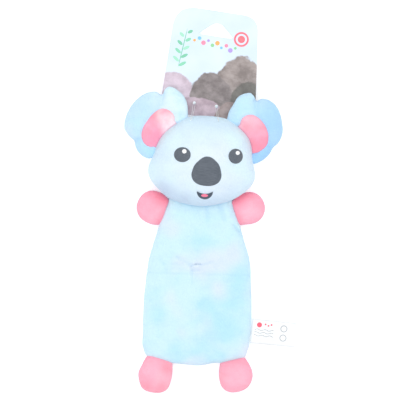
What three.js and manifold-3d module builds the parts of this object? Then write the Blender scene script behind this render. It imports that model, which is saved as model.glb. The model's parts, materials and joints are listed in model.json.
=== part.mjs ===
// A flat plush koala toy with its hang card, lying on its back; lengths are in millimetres.
// X runs across the toy, Y from the feet to the ears and Z up out of its face.
// The origin is the middle of the upper pouch's flat back, on the surface that the toy lies on.
import * as THREE from 'three';
import Module from 'manifold-3d';
import { mergeVertices } from 'three/addons/utils/BufferGeometryUtils.js';

const wasm = await Module();
wasm.setup();
const { degToRad } = THREE.MathUtils;

// Cloth, stuffing and clearances.
const plush = 2;             // short-pile cloth with its backing
const stitching = 0.8;       // satin stitching and appliqué on the plush
const clearance = 0.3;       // between pieces that are sewn, stuffed or laid together
const hingeGap = 0.4;        // between a limb and the seam that it is sewn into
const restCut = 0.5;         // how far a stuffed back is pressed flat by its weight
const overrun = 10;          // how far a cutting tool runs past what it cuts

// Head.
const headWide = 92.2;
const headTall = 77.6;
const headFront = 30;        // swell of the face above the seam
const headSeam = 23.5;       // height of the seam round the head
const headX = 0.8;
const chinTuck = 4.8;        // how far the chin reaches past the neck seam
const headTilt = degToRad(-2.5);
const headLean = 2.7;        // how far the crown lies to one side of the cheeks

// Ears.
const earLeftWide = 55;
const earRightWide = 48.5;
const earTall = 63;
const earFront = 8;
const earBack = 5;
const pinkInset = 2;         // from the head's seam to the pink panel

// Body.
const neckWide = 54.8;
const neckUp = 33;
const neckSeam = 12.5;       // height of the seam that the head is sewn on at
const armpitWide = 68.6;
const armpitUp = 11.6;
const waistWide = 88.2;
const waistDown = 31;
const hipWide = 93.2;
const bodySeam = 7;          // height of the seam round the body and the limbs
const bodyFront = 7.5;
const bodyDown = 110.2;
const footOutX = 42.1;
const footOutDown = 102.4;
const footInX = 20.4;
const footInDown = 108.2;
const pouchFullness = 6;     // exponent: the higher, the flatter the pouch inside its edges
const neckFrontTaper = 36;   // how far from the neck the chest reaches its full swell
const neckBackTaper = 22;

// Limbs.
const armReach = 25;
const armFront = 6;
const footReach = 29.3;
const footFront = 7;

// Face.
const faceShift = 4.4;       // the face is turned this far to one side
const eyeWide = 13.4;
const eyeTurn = 1;           // the turned face widens one eye and narrows the other by this much
const eyeTall = 13.4;
const eyeApart = 45.8;
const eyeShift = 1;          // of both eyes from the line of the nose
const eyeUp = 4.6;           // above the middle of the head
const eyeRise = 0.95;        // of one eye above that, and of the other below it
const glint = 3.9;
const noseWide = 25.3;
const noseTall = 24.6;
const noseUp = -9;
const mouthWide = 14;
const mouthTall = 6.7;
const mouthShift = -0.4;     // from the line of the nose
const mouthUp = 9.3;         // above the chin
const tongueWide = 7;
const tongueTall = 3;

// Squeaker.
const bulb = 16;             // outer radius
const bulbTall = 17;
const bulbWall = 1.2;
const reedBore = 1.5;
const reedTall = 4;

// Hang card and its two tag pins.
const cardLeft = 38.5;       // from the middle of the hanger hole to each edge
const cardRight = 33.5;
const cardFlare = 11.5;      // how much further the right edge reaches at the bottom
const cardAbove = 82.1;      // from the line through the pin holes
const cardBelow = 11;
const cardThick = 0.6;
const cardLeftCorner = 19.5;  // how far each top corner's rounding reaches along its edges
const cardRightCorner = 13;
const cardTurn = degToRad(-7.5);
const cardX = 2.1;
const cardOff = 9.8;         // from the crown to the line through the pin holes
const cardHigh = 9;          // of the pin holes above the surface
const hangerWide = 31.75;    // standard delta hole
const hangerTall = 12.7;
const hangerUp = 60;
const hangerRound = 2.1;
const pinApart = 19.4;
const pinHole = 2.6;
const filament = 0.7;        // diameter
const pinBar = 1.1;          // diameter of the cross bars at both ends
const pinBarLong = 9;
const pinEntryDown = 5;      // from the top of the head to where the filament goes in
const pinStandoff = 3;

// Care label, folded once.
const labelLong = 38;
const labelWide = 21.5;
const labelLeaf = 0.35;
const labelGap = 0.4;         // between the two leaves
const labelDown = 79;
const labelTurn = degToRad(-4.5);

const finish = (color, roughness) => new THREE.MeshStandardMaterial({ color, roughness, metalness: 0 });
const bluePlush = () => finish(0xcfeafc, 0.95);
const pinkPlush = () => finish(0xffb4cd, 0.95);
const fibre = () => finish(0xf4f4f2, 1);
const thread = (color) => finish(color, 0.7);
const clearNylon = () => finish(0xf4f8fa, 0.15);

// A closed body from loose corners and triangles, without the triangles that have no area.
function solid(geometry) {
  geometry.deleteAttribute('normal');
  geometry.deleteAttribute('uv');
  const merged = mergeVertices(geometry);
  const index = merged.index.array;
  const triangles = [];
  for (let i = 0; i < index.length; i += 3) {
    const [a, b, c] = [index[i], index[i + 1], index[i + 2]];
    if (a !== b && b !== c && c !== a) triangles.push(a, b, c);
  }
  return new wasm.Manifold(new wasm.Mesh({
    numProp: 3,
    vertProperties: merged.attributes.position.array,
    triVerts: new Uint32Array(triangles),
  }));
}

function mesh(name, body, material) {
  const { vertProperties, triVerts } = body.getMesh();
  const geometry = new THREE.BufferGeometry();
  geometry.setAttribute('position', new THREE.BufferAttribute(vertProperties, 3));
  geometry.setIndex(new THREE.BufferAttribute(triVerts, 1));
  geometry.computeVertexNormals();
  const piece = new THREE.Mesh(geometry, material);
  piece.name = name;
  return piece;
}

// Corners along a chain of curves, each split into its own number of steps.
function trace(...runs) {
  const points = [];
  for (const [curve, steps] of runs) {
    for (let i = 0; i < steps; i += 1) points.push(curve.getPointAt(i / steps));
  }
  return THREE.ShapeUtils.area(points) < 0 ? points.reverse() : points;
}

const point = (x, y) => new THREE.Vector2(x, y);
const line = (a, b) => new THREE.LineCurve(a, b);

// A smooth plan curve through points, which keeps its ends.
function smooth(points, closed = false) {
  const path = new THREE.CatmullRomCurve3(points.map((p) => new THREE.Vector3(p.x, p.y, 0)), closed);
  const curve = new THREE.Curve();
  curve.getPoint = (t) => {
    const p = path.getPoint(t);
    return point(p.x, p.y);
  };
  return curve;
}

// The outline and smaller copies of it about the middle, down to the middle itself.
function drawIn(outline, middle, ringShares) {
  return [0, ...ringShares, 1].map((share) => ({
    share,
    points: share ? outline.map((p) => middle.clone().lerp(p, share)) : [middle],
  }));
}

// A closed body between two heights over the same rings.
function quilt(rings, top, bottom) {
  const count = rings[1].points.length;
  const faceSize = 1 + count * (rings.length - 1);
  const positions = [];
  for (const height of [top, bottom]) {
    for (const { share, points } of rings) {
      for (const p of points) positions.push(p.x, p.y, height(p, share));
    }
  }
  const at = (face, ring, i) => face * faceSize + (ring ? 1 + (ring - 1) * count + (i % count) : 0);
  const triangles = [];
  for (let i = 0; i < count; i += 1) {
    for (let ring = 1; ring < rings.length; ring += 1) {
      const inner = ring - 1;
      triangles.push(at(0, inner, i), at(0, ring, i), at(0, ring, i + 1));
      triangles.push(at(0, inner, i), at(0, ring, i + 1), at(0, inner, i + 1));
      triangles.push(at(1, inner, i), at(1, ring, i + 1), at(1, ring, i));
      triangles.push(at(1, inner, i), at(1, inner, i + 1), at(1, ring, i + 1));
    }
    const rim = rings.length - 1;
    triangles.push(at(0, rim, i), at(1, rim, i), at(1, rim, i + 1));
    triangles.push(at(0, rim, i), at(1, rim, i + 1), at(0, rim, i + 1));
  }
  const geometry = new THREE.BufferGeometry();
  geometry.setAttribute('position', new THREE.Float32BufferAttribute(positions, 3));
  geometry.setIndex(triangles);
  return solid(geometry);
}

// A stuffed form: front and back panels that meet at the seam, and the fibre between them.
// The swells say how high the front and the back stand off the seam, from 0 at the outline.
// The back is pressed flat where it would reach below the surface that the toy lies on.
function stuffed(rings, seam, frontSwell, backSwell) {
  const frontFoot = (p) => seam(p) + clearance / 2;
  const backFoot = (p) => seam(p) - clearance / 2;
  const front = (p, share) => frontFoot(p) + frontSwell(p, share);
  const back = (p, share) => Math.max(backFoot(p) - backSwell(p, share), 0);
  const frontLining = (p, share) => Math.max(front(p, share) - plush, frontFoot(p));
  const backLining = (p, share) => Math.min(back(p, share) + plush, backFoot(p));
  const stuffing = rings.slice(0, -1);
  const edge = stuffing.at(-1).share;
  const fillTop = (p, share) => (share < edge ? frontLining(p, share) - clearance : seam(p));
  const fillBottom = (p, share) => (share < edge ? backLining(p, share) + clearance : seam(p));
  return {
    front: quilt(rings, front, frontLining),
    back: quilt(rings, backLining, back),
    fill: quilt(stuffing, fillTop, fillBottom),
    envelope: quilt(rings, front, frontFoot),
  };
}

const lens = (share, exponent) => 1 - share ** exponent;
const level = (height) => () => height;

// A thin piece that follows the surface under it, one stitching thickness per layer.
function patch(envelope, shape, layer) {
  const low = layer * (stitching + clearance) + clearance;
  const prism = new THREE.ExtrudeGeometry(shape, {
    depth: headSeam + headFront + overrun, bevelEnabled: false, curveSegments: 5,
  });
  return solid(prism)
    .intersect(envelope.translate(0, 0, low + stitching))
    .subtract(envelope.translate(0, 0, low));
}

function tube(points, diameter, sides, steps) {
  const section = new THREE.Shape().setFromPoints(
    new THREE.EllipseCurve(0, 0, diameter / 2, diameter / 2).getPoints(sides).slice(0, -1),
  );
  const extrudePath = new THREE.CatmullRomCurve3(points);
  return solid(new THREE.ExtrudeGeometry(section, { steps, extrudePath, bevelEnabled: false }));
}

function rod(middle, diameter, length) {
  const geometry = new THREE.CylinderGeometry(diameter / 2, diameter / 2, length, 8);
  geometry.rotateZ(Math.PI / 2);
  geometry.translate(middle.x, middle.y, middle.z);
  return solid(geometry);
}

const toy = new THREE.Group();
toy.name = 'plush_koala';

// The head's half outline, from the chin to the crown, as shares of half its width and of its height.
const headEdgeShares = [
  [0, 0], [0.31, 0.02], [0.584, 0.068], [0.811, 0.173], [0.941, 0.258], [1, 0.36],
  [0.924, 0.513], [0.874, 0.673], [0.779, 0.802], [0.584, 0.905], [0.33, 0.98], [0, 1],
];
const cheekShare = 0.42;     // how far up the head its upper part starts to lean
function headOutline(lean) {
  const shift = (y) => lean * Math.max(0, y - cheekShare) / (1 - cheekShare);
  const place = (x, y) => point(x * headWide / 2 + shift(y), (y - 0.5) * headTall);
  return smooth([
    ...headEdgeShares.map(([x, y]) => place(x, y)),
    ...headEdgeShares.slice(1, -1).reverse().map(([x, y]) => place(-x, y)),
  ], true);
}
const headCurve = headOutline(headLean);
const headRingShares = [0.26, 0.5, 0.7, 0.84, 0.94, 0.985];
const headRings = drawIn(trace([headCurve, 44]), point(0, 0), headRingShares);
const ball = (share) => lens(share, 2.4) ** 0.6;
const headBody = stuffed(
  headRings, level(headSeam),
  (p, share) => headFront * ball(share),
  (p, share) => (headSeam + restCut) * ball(share),
);

const headY = neckUp - chinTuck + headTall / 2;
const head = new THREE.Group();
head.position.set(headX, headY, 0);
head.rotation.z = headTilt;
toy.add(head);

// The card leans from its pin holes down to its top edge, which rests on the surface.
const hangCard = new THREE.Group();
const cardLean = -Math.asin((cardHigh - cardThick) / cardAbove);
hangCard.position.set(cardX, headY + headTall / 2 + cardOff, cardHigh);
hangCard.rotation.set(cardLean, 0, cardTurn);
toy.add(hangCard);
toy.updateMatrixWorld(true);

// Tag pins: a bar under the face panel, a filament over the crown and a bar behind the card.
const headSurface = new THREE.Raycaster();
const headShell = mesh('head_shell', headBody.envelope, bluePlush());
function tagPin(side) {
  const hole = hangCard.localToWorld(new THREE.Vector3(side * pinApart / 2, 0, 0));
  const behind = hangCard.localToWorld(new THREE.Vector3(side * pinApart / 2, 0, -cardThick / 2 - pinBar));
  head.worldToLocal(hole);
  head.worldToLocal(behind);
  const above = new THREE.Vector3(hole.x, headTall / 2 - pinEntryDown, headSeam + headFront + overrun);
  headSurface.set(above, new THREE.Vector3(0, 0, -1));
  const { point: entry, face } = headSurface.intersectObject(headShell)[0];
  const inside = entry.clone().addScaledVector(face.normal, -plush - clearance - pinBar / 2);
  const outside = entry.clone().addScaledVector(face.normal, pinStandoff);
  const crown = new THREE.Vector3(hole.x, headTall / 2 + pinStandoff, headSeam + 2 * pinStandoff);
  const path = [inside, entry, outside, crown, hole, behind];
  const bars = rod(inside, pinBar, pinBarLong).add(rod(behind, pinBar, pinBarLong));
  const panelHole = tube(path.slice(0, 4), filament + 2 * clearance, 8, 10);
  const barPocket = rod(inside, pinBar + 2 * stitching, pinBarLong + 2 * clearance);
  return { pin: tube(path, filament, 6, 24).add(bars), panelHole, fillPocket: barPocket.add(panelHole) };
}
const pins = { left: tagPin(-1), right: tagPin(1) };

// The squeaker: a soft hollow bulb with a reed plugged into its neck, in a pocket of the stuffing.
// Outer profile of the bulb from the middle of its base to its shoulder, which the neck stands on.
const bulbShares = [[0, 0], [0.6, 0], [0.86, 0.1], [1, 0.32], [0.95, 0.58], [0.68, 0.76]];
const neckShare = 0.36;
const shoulderShare = 0.8;
const neckBore = neckShare * bulb - bulbWall;
const bulbBase = plush + 2 * clearance;
function squeakerBulb() {
  const inner = bulb - bulbWall;
  const innerTall = bulbTall - 2 * bulbWall;
  const profile = [
    ...bulbShares.map(([r, z]) => point(r * bulb, z * bulbTall)),
    point(neckShare * bulb, shoulderShare * bulbTall),
    point(neckShare * bulb, bulbTall),
    point(neckBore, bulbTall),
    point(neckBore, bulbWall + shoulderShare * innerTall),
    ...bulbShares.slice(1).reverse().map(([r, z]) => point(r * inner, bulbWall + z * innerTall)),
    point(0, bulbWall),
  ];
  const geometry = new THREE.LatheGeometry(profile, 18);
  geometry.rotateX(Math.PI / 2);
  geometry.translate(0, 0, bulbBase);
  return solid(geometry);
}
function squeakerReed() {
  const outer = neckBore - clearance;
  const top = bulbTall;
  const profile = [
    point(reedBore, top - reedTall), point(outer, top - reedTall),
    point(outer, top), point(reedBore, top), point(reedBore, top - reedTall),
  ];
  const geometry = new THREE.LatheGeometry(profile, 12);
  geometry.rotateX(Math.PI / 2);
  geometry.translate(0, 0, bulbBase);
  return solid(geometry);
}
function squeakerPocket() {
  const tall = bulbBase + bulbTall + clearance;
  const geometry = new THREE.CylinderGeometry(bulb + clearance, bulb + clearance, tall, 24);
  geometry.rotateX(Math.PI / 2);
  geometry.translate(0, 0, tall / 2);
  return solid(geometry);
}

let facePanel = headBody.front;
let headFill = headBody.fill.subtract(squeakerPocket());
for (const { panelHole, fillPocket } of Object.values(pins)) {
  facePanel = facePanel.subtract(panelHole);
  headFill = headFill.subtract(fillPocket);
}
head.add(
  mesh('head_front_panel', facePanel, bluePlush()),
  mesh('head_back_panel', headBody.back, bluePlush()),
  mesh('head_fill', headFill, fibre()),
  mesh('squeaker_bulb', squeakerBulb(), finish(0xf2f2ea, 0.5)),
  mesh('squeaker_reed', squeakerReed(), finish(0xffffff, 0.4)),
  mesh('tag_pin_left', pins.left.pin, clearNylon()),
  mesh('tag_pin_right', pins.right.pin, clearNylon()),
);

// Face, in satin stitch: ovals for the eyes, a long rounded nose, a crescent mouth and a tongue.
const oval = (x, y, wide, tall) => new THREE.Shape().absellipse(x, y, wide / 2, tall / 2, 0, Math.PI * 2);
const glintUpShare = 0.2;
const mouthDipShare = 0.36;
const tongueDownShare = 0.5;
for (const [name, side] of [['left', -1], ['right', 1]]) {
  const x = faceShift + eyeShift + side * eyeApart / 2;
  const y = eyeUp + side * eyeRise;
  const eye = oval(x, y, eyeWide - side * eyeTurn, eyeTall);
  const light = oval(x + glint / 2, y + glintUpShare * eyeTall, glint, glint);
  head.add(
    mesh(`eye_${name}`, patch(headBody.envelope, eye, 0), thread(0x6a6f7b)),
    mesh(`eye_${name}_glint`, patch(headBody.envelope, light, 1), thread(0xffffff)),
  );
}

// Half the nose, from its middle at the bottom to the top, as shares of half its width and its height.
const noseShares = [
  [0, -0.5], [0.42, -0.48], [0.82, -0.37], [0.99, -0.19], [0.95, -0.02], [0.8, 0.14], [0.55, 0.33],
  [0.29, 0.46], [0, 0.5],
];
const nosePoint = (x, y) => point(faceShift + x * noseWide / 2, noseUp + y * noseTall);
const noseEdge = smooth([
  ...noseShares.map(([x, y]) => nosePoint(x, y)),
  ...noseShares.slice(1, -1).reverse().map(([x, y]) => nosePoint(-x, y)),
], true);
head.add(mesh(
  'nose', patch(headBody.envelope, new THREE.Shape(trace([noseEdge, 28])), 0), thread(0x666b76),
));

// An open mouth: its lower lip is half an oval, and its upper lip sags between the same corners.
function smile(x, top, wide, tall) {
  const halfOvalPull = 4 * tall / 3;
  return new THREE.Shape()
    .moveTo(x - wide / 2, top)
    .bezierCurveTo(x - wide / 2, top - halfOvalPull, x + wide / 2, top - halfOvalPull, x + wide / 2, top)
    .quadraticCurveTo(x, top - 2 * mouthDipShare * tall, x - wide / 2, top);
}
const mouthX = faceShift + mouthShift;
const mouthTop = -headTall / 2 + mouthUp + mouthTall / 2;
const mouth = smile(mouthX, mouthTop, mouthWide, mouthTall);
const tongue = oval(mouthX, mouthTop - tongueDownShare * mouthTall, tongueWide, tongueTall);
head.add(
  mesh('mouth', patch(headBody.envelope, mouth, 0), thread(0x5c6270)),
  mesh('tongue', patch(headBody.envelope, tongue, 1), thread(0xff8fae)),
);

// Ears: three scalloped lobes, sewn into the side of the head's seam and swelling towards their middle.
// Each ear's free edge as shares of its width and height: the lobes, the notches between them, and
// the free edge of the pink panel.
const leftEarShares = {
  lobes: [
    [[0.55, -0.015], [0.65, 0.012], [0.74, 0.07], [0.79, 0.15]],
    [[0.9, 0.28], [0.98, 0.37], [0.985, 0.47], [0.935, 0.63], [0.825, 0.78], [0.68, 0.88], [0.55, 0.91]],
    [[0.39, 0.96], [0.31, 0.995], [0.22, 0.96], [0.1, 0.88], [0.04, 0.79]],
  ],
  notches: [[0.812, 0.222], [0.42, 0.87]],
  pink: [
    [0.56, 0.14], [0.66, 0.185], [0.712, 0.28], [0.705, 0.38], [0.645, 0.5], [0.55, 0.61], [0.43, 0.688],
    [0.3, 0.67], [0.205, 0.59],
  ],
};
const rightEarShares = {
  lobes: [
    [[0.55, 0.012], [0.65, 0.058], [0.74, 0.115], [0.81, 0.19]],
    [[0.95, 0.34], [1, 0.46], [0.985, 0.57], [0.92, 0.745], [0.79, 0.87], [0.64, 0.912], [0.55, 0.9]],
    [[0.45, 0.94], [0.37, 0.992], [0.21, 0.945], [0.09, 0.87], [0.035, 0.76]],
  ],
  notches: [[0.85, 0.255], [0.49, 0.865]],
  pink: [
    [0.57, 0.16], [0.66, 0.205], [0.74, 0.27], [0.767, 0.37], [0.745, 0.465], [0.68, 0.56], [0.56, 0.65],
    [0.44, 0.688], [0.33, 0.67], [0.25, 0.61],
  ],
};
const earRootShares = [0.258, 0.437];    // where the root starts and ends, round the head from the chin
const earMiddleShares = [0.5, 0.57];
const earRingShares = [0.4, 0.7, 0.88];
const pinkRootShares = [0.2, 0.75];      // along the ear's own root
const valleyDepthShare = 0.4;
const valleyTurn = degToRad(16);         // how far a valley spreads to either side of its notch

// A curve from one share of the head's outline to another, moved out from the head.
function besideHead(headSide, from, to, out) {
  const edge = new THREE.Curve();
  edge.getPoint = (t) => {
    const share = THREE.MathUtils.lerp(from, to, t);
    const along = headSide.getTangentAt(share);
    return headSide.getPointAt(share).add(point(along.y * out, -along.x * out));
  };
  return edge;
}

// An ear is drawn on the right, against the head's own edge on its side, and mirrored for the left.
function ear(side, wide, edgeShares) {
  const headSide = headOutline(side * headLean);
  const root = besideHead(headSide, ...earRootShares, hingeGap);
  const low = root.getPoint(0);
  const high = root.getPoint(1);
  const place = ([x, y]) => point(high.x + x * wide, low.y + y * earTall);
  const notches = edgeShares.notches.map(place);
  const ends = [low, ...notches, high];
  const lobes = edgeShares.lobes.map((shares, i) => smooth([ends[i], ...shares.map(place), ends[i + 1]]));
  const outline = trace([lobes[0], 5], [lobes[1], 10], [lobes[2], 9], [backwards(root), 6]);
  const middle = place(earMiddleShares);
  const valley = (p, share) => {
    const turn = Math.atan2(p.y - middle.y, p.x - middle.x);
    const near = notches.map((notch) => {
      const away = turn - Math.atan2(notch.y - middle.y, notch.x - middle.x);
      return Math.exp(-((away / valleyTurn) ** 2));
    });
    return 1 - valleyDepthShare * share * Math.max(...near);
  };
  const form = stuffed(
    drawIn(outline, middle, earRingShares), level(headSeam),
    (p, share) => earFront * lens(share, 3) * valley(p, share),
    (p, share) => earBack * lens(share, 3) * valley(p, share),
  );
  const [pinkFrom, pinkTo] = pinkRootShares.map((share) => THREE.MathUtils.lerp(...earRootShares, share));
  const pinkRoot = besideHead(headSide, pinkFrom, pinkTo, pinkInset);
  const pinkEdge = smooth([pinkRoot.getPoint(0), ...edgeShares.pink.map(place), pinkRoot.getPoint(1)]);
  const pink = new THREE.Shape(trace([pinkEdge, 18], [backwards(pinkRoot), 5]));
  const sided = (body) => (side < 0 ? body.mirror([1, 0, 0]) : body);
  const name = side < 0 ? 'left' : 'right';
  head.add(
    mesh(`ear_${name}_front_panel`, sided(form.front), bluePlush()),
    mesh(`ear_${name}_inner_panel`, sided(patch(form.envelope, pink, 0)), pinkPlush()),
    mesh(`ear_${name}_back_panel`, sided(form.back), bluePlush()),
    mesh(`ear_${name}_fill`, sided(form.fill), fibre()),
  );
}
function backwards(curve) {
  const turned = new THREE.Curve();
  turned.getPoint = (t) => curve.getPoint(1 - t);
  return turned;
}
ear(-1, earLeftWide, leftEarShares);
ear(1, earRightWide, rightEarShares);

// Body: two flat pouches that meet at the seam across the tummy.
const mirrored = (half) => [...half, ...half.map((p) => point(-p.x, p.y)).reverse()];
const chain = (corners, stepCounts) => {
  const runs = corners.map((corner, i) => [line(corner, corners[(i + 1) % corners.length]), stepCounts[i]]);
  return trace(...runs);
};
const riseShare = (y) => Math.max(0, (y - armpitUp) / (neckUp - armpitUp));
const bodySeamAt = (p) => bodySeam + (neckSeam - bodySeam) * riseShare(p.y);
const taper = (distance, width) => {
  const share = Math.min(Math.max(distance / width, 0), 1);
  return 1 - (1 - share) ** 2;
};
// Half widths down each pouch's side, as shares between its upper and lower ends.
const flankShares = [[0.42, 0.4], [0.8, 0.72]];
const pouchRingShares = [0.42, 0.7, 0.88];
const flank = (high, low, [x, y]) => point(
  THREE.MathUtils.lerp(high.x, low.x, x), THREE.MathUtils.lerp(high.y, low.y, y),
);
const waistCorner = point(waistWide / 2, -waistDown);
const armpit = point(armpitWide / 2, armpitUp);
const upperHalf = [
  waistCorner, ...flankShares.map((share) => flank(armpit, waistCorner, share)).reverse(), armpit,
  point(neckWide / 2, neckUp),
];
const upperSteps = [2, 2, 2, 4, 5, 4, 2, 2, 2, 8];
const upperBody = stuffed(
  drawIn(chain(mirrored(upperHalf), upperSteps), point(0, 0), pouchRingShares),
  bodySeamAt,
  (p, share) => bodyFront * lens(share, pouchFullness) * taper(neckUp - p.y, neckFrontTaper),
  (p, share) => (bodySeamAt(p) + restCut) * lens(share, pouchFullness) * taper(neckUp - p.y, neckBackTaper),
);

const lowWaist = point(waistWide / 2, -waistDown - hingeGap);
const hipShare = 0.6;                    // of the way from the waist to the feet
const hip = point(hipWide / 2, THREE.MathUtils.lerp(-waistDown, -footOutDown, hipShare));
const footOut = point(footOutX, -footOutDown);
const footIn = point(footInX, -footInDown);
const hipToFootShares = [0.3, 0.62];
const waistToHipShares = [0.75, 0.4];
const lowerHalf = [
  point(0, -bodyDown), footIn, footOut, flank(hip, footOut, hipToFootShares), hip,
  flank(lowWaist, hip, waistToHipShares), lowWaist,
];
const lowerSteps = [3, 3, 2, 2, 2, 2, 8, 2, 2, 2, 2, 3, 3];
const lowerOutline = chain(
  [...lowerHalf, ...lowerHalf.slice(1).map((p) => point(-p.x, p.y)).reverse()], lowerSteps,
);
const lowerMiddle = point(0, (lowWaist.y - bodyDown) / 2);
const lowerBody = stuffed(
  drawIn(lowerOutline, lowerMiddle, pouchRingShares), level(bodySeam),
  (p, share) => bodyFront * lens(share, pouchFullness),
  (p, share) => (bodySeam + restCut) * lens(share, pouchFullness),
);
for (const [name, form] of [['upper', upperBody], ['lower', lowerBody]]) {
  toy.add(
    mesh(`${name}_body_front_panel`, form.front, bluePlush()),
    mesh(`${name}_body_back_panel`, form.back, bluePlush()),
    mesh(`${name}_body_fill`, form.fill, fibre()),
  );
}

// A limb: a straight root seam and a rounded free edge, as shares of its reach and of the root's length.
// The root seam may climb by rootRise from its start to its end; the free edge stays at the body's seam.
const armShares = [
  [0.28, -0.1], [0.52, -0.1], [0.8, 0.035], [0.96, 0.28], [1, 0.55], [0.91, 0.885], [0.67, 1.11],
  [0.27, 1.13],
];
const footShares = [
  [0.37, -0.13], [0.71, -0.08], [0.93, 0.1], [1, 0.5], [0.92, 0.82], [0.6, 1.14], [0.26, 1.12],
];
const limbMiddleShares = [0.46, 0.5];
const limbRingShares = [0.45, 0.72, 0.9];
function limb(name, side, from, to, shares, reach, swell, rootRise) {
  const root = to.clone().sub(from);
  const rootLong = root.length();
  const place = ([x, y]) => point(hingeGap + x * reach, y * rootLong);
  const start = place([0, 0]);
  const end = place([0, 1]);
  const outline = trace([smooth([start, ...shares.map(place), end]), 20], [line(end, start), 4]);
  const middle = place(limbMiddleShares);
  const seam = (p) => {
    const fade = Math.max(0, 1 - (p.x - hingeGap) / reach) ** 2;
    return bodySeam + rootRise * (p.y / rootLong) * fade;
  };
  const form = stuffed(
    drawIn(outline, middle, limbRingShares), seam,
    (p, share) => swell * lens(share, 2.6),
    (p, share) => (seam(p) + restCut) * lens(share, 4),
  );
  const sided = (body) => (side < 0 ? body.mirror([1, 0, 0]) : body);
  const group = new THREE.Group();
  group.position.set(side * from.x, from.y, 0);
  group.rotation.z = side * (Math.atan2(root.y, root.x) - Math.PI / 2);
  group.add(
    mesh(`${name}_front_panel`, sided(form.front), pinkPlush()),
    mesh(`${name}_back_panel`, sided(form.back), pinkPlush()),
    mesh(`${name}_fill`, sided(form.fill), fibre()),
  );
  toy.add(group);
}
for (const [name, side] of [['left', -1], ['right', 1]]) {
  const neckCorner = point(neckWide / 2, neckUp);
  limb(`arm_${name}`, side, armpit, neckCorner, armShares, armReach, armFront, neckSeam - bodySeam);
  limb(`foot_${name}`, side, footIn, footOut, footShares, footReach, footFront, 0);
}

// Care label: one strip folded at its outer end, drooping from the side seam to the surface.
const droopShares = [0.35, 0.55];
function foldedLabel() {
  const low = labelGap / 2 + labelLeaf + clearance;
  const droop = new THREE.CubicBezierCurve(
    point(0, bodySeam), point(labelLong * droopShares[0], bodySeam),
    point(labelLong * droopShares[1], low), point(labelLong, low),
  );
  const steps = 7;
  const leaf = (offset) => Array.from({ length: steps + 1 }, (_, i) => {
    const at = droop.getPointAt(i / steps);
    const along = droop.getTangentAt(i / steps);
    return at.add(point(-along.y * offset, along.x * offset));
  });
  const outer = labelGap / 2 + labelLeaf;
  const inner = labelGap / 2;
  const fold = inner / 2;
  const shape = new THREE.Shape([
    ...leaf(outer), ...leaf(-outer).reverse(),
    ...leaf(-inner).slice(0, -1),
    droop.getPointAt(1).sub(point(fold, inner)),
    droop.getPointAt(1).add(point(-fold, inner)),
    ...leaf(inner).slice(0, -1).reverse(),
  ]);
  const geometry = new THREE.ExtrudeGeometry(shape, { depth: labelWide, bevelEnabled: false });
  geometry.rotateX(Math.PI / 2);
  geometry.translate(0, labelWide / 2, 0);
  return solid(geometry);
}
const label = new THREE.Group();
label.position.set(hipWide / 2 + clearance, -labelDown, 0);
label.rotation.z = labelTurn;
label.add(mesh('care_label', foldedLabel(), finish(0xffffff, 0.6)));
toy.add(label);

// Hang card: rounded top corners, a right edge that splays, a delta hanger hole and two pin holes.
function hangCardBody() {
  const right = (y) => cardRight + cardFlare * (cardAbove - y) / (cardAbove + cardBelow);
  const shape = new THREE.Shape()
    .moveTo(-cardLeft, -cardBelow)
    .lineTo(right(-cardBelow), -cardBelow)
    .lineTo(right(cardAbove - cardRightCorner), cardAbove - cardRightCorner)
    .quadraticCurveTo(right(cardAbove), cardAbove, cardRight - cardRightCorner, cardAbove)
    .lineTo(-cardLeft + cardLeftCorner, cardAbove)
    .quadraticCurveTo(-cardLeft, cardAbove, -cardLeft, cardAbove - cardLeftCorner);
  const half = hangerWide / 2;
  const peak = hangerUp + hangerTall;
  const shoulder = peak - hangerRound;
  const hanger = new THREE.Path()
    .moveTo(-half + hangerRound, hangerUp)
    .lineTo(half - hangerRound, hangerUp)
    .quadraticCurveTo(half, hangerUp, half - hangerRound, hangerUp + hangerRound)
    .lineTo(2 * hangerRound, shoulder)
    .quadraticCurveTo(0, peak, -2 * hangerRound, shoulder)
    .lineTo(-half + hangerRound, hangerUp + hangerRound)
    .quadraticCurveTo(-half, hangerUp, -half + hangerRound, hangerUp);
  shape.holes.push(hanger);
  const radius = pinHole / 2;
  for (const x of [-pinApart / 2, pinApart / 2]) {
    shape.holes.push(new THREE.Path().absellipse(x, 0, radius, radius, 0, Math.PI * 2));
  }
  const geometry = new THREE.ExtrudeGeometry(shape, {
    depth: cardThick, bevelEnabled: false, curveSegments: 4,
  });
  geometry.translate(0, 0, -cardThick / 2);
  return solid(geometry);
}
hangCard.add(mesh('hang_card', hangCardBody(), finish(0xe6f5fe, 0.4)));

export default toy;
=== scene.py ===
import json
import math

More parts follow.
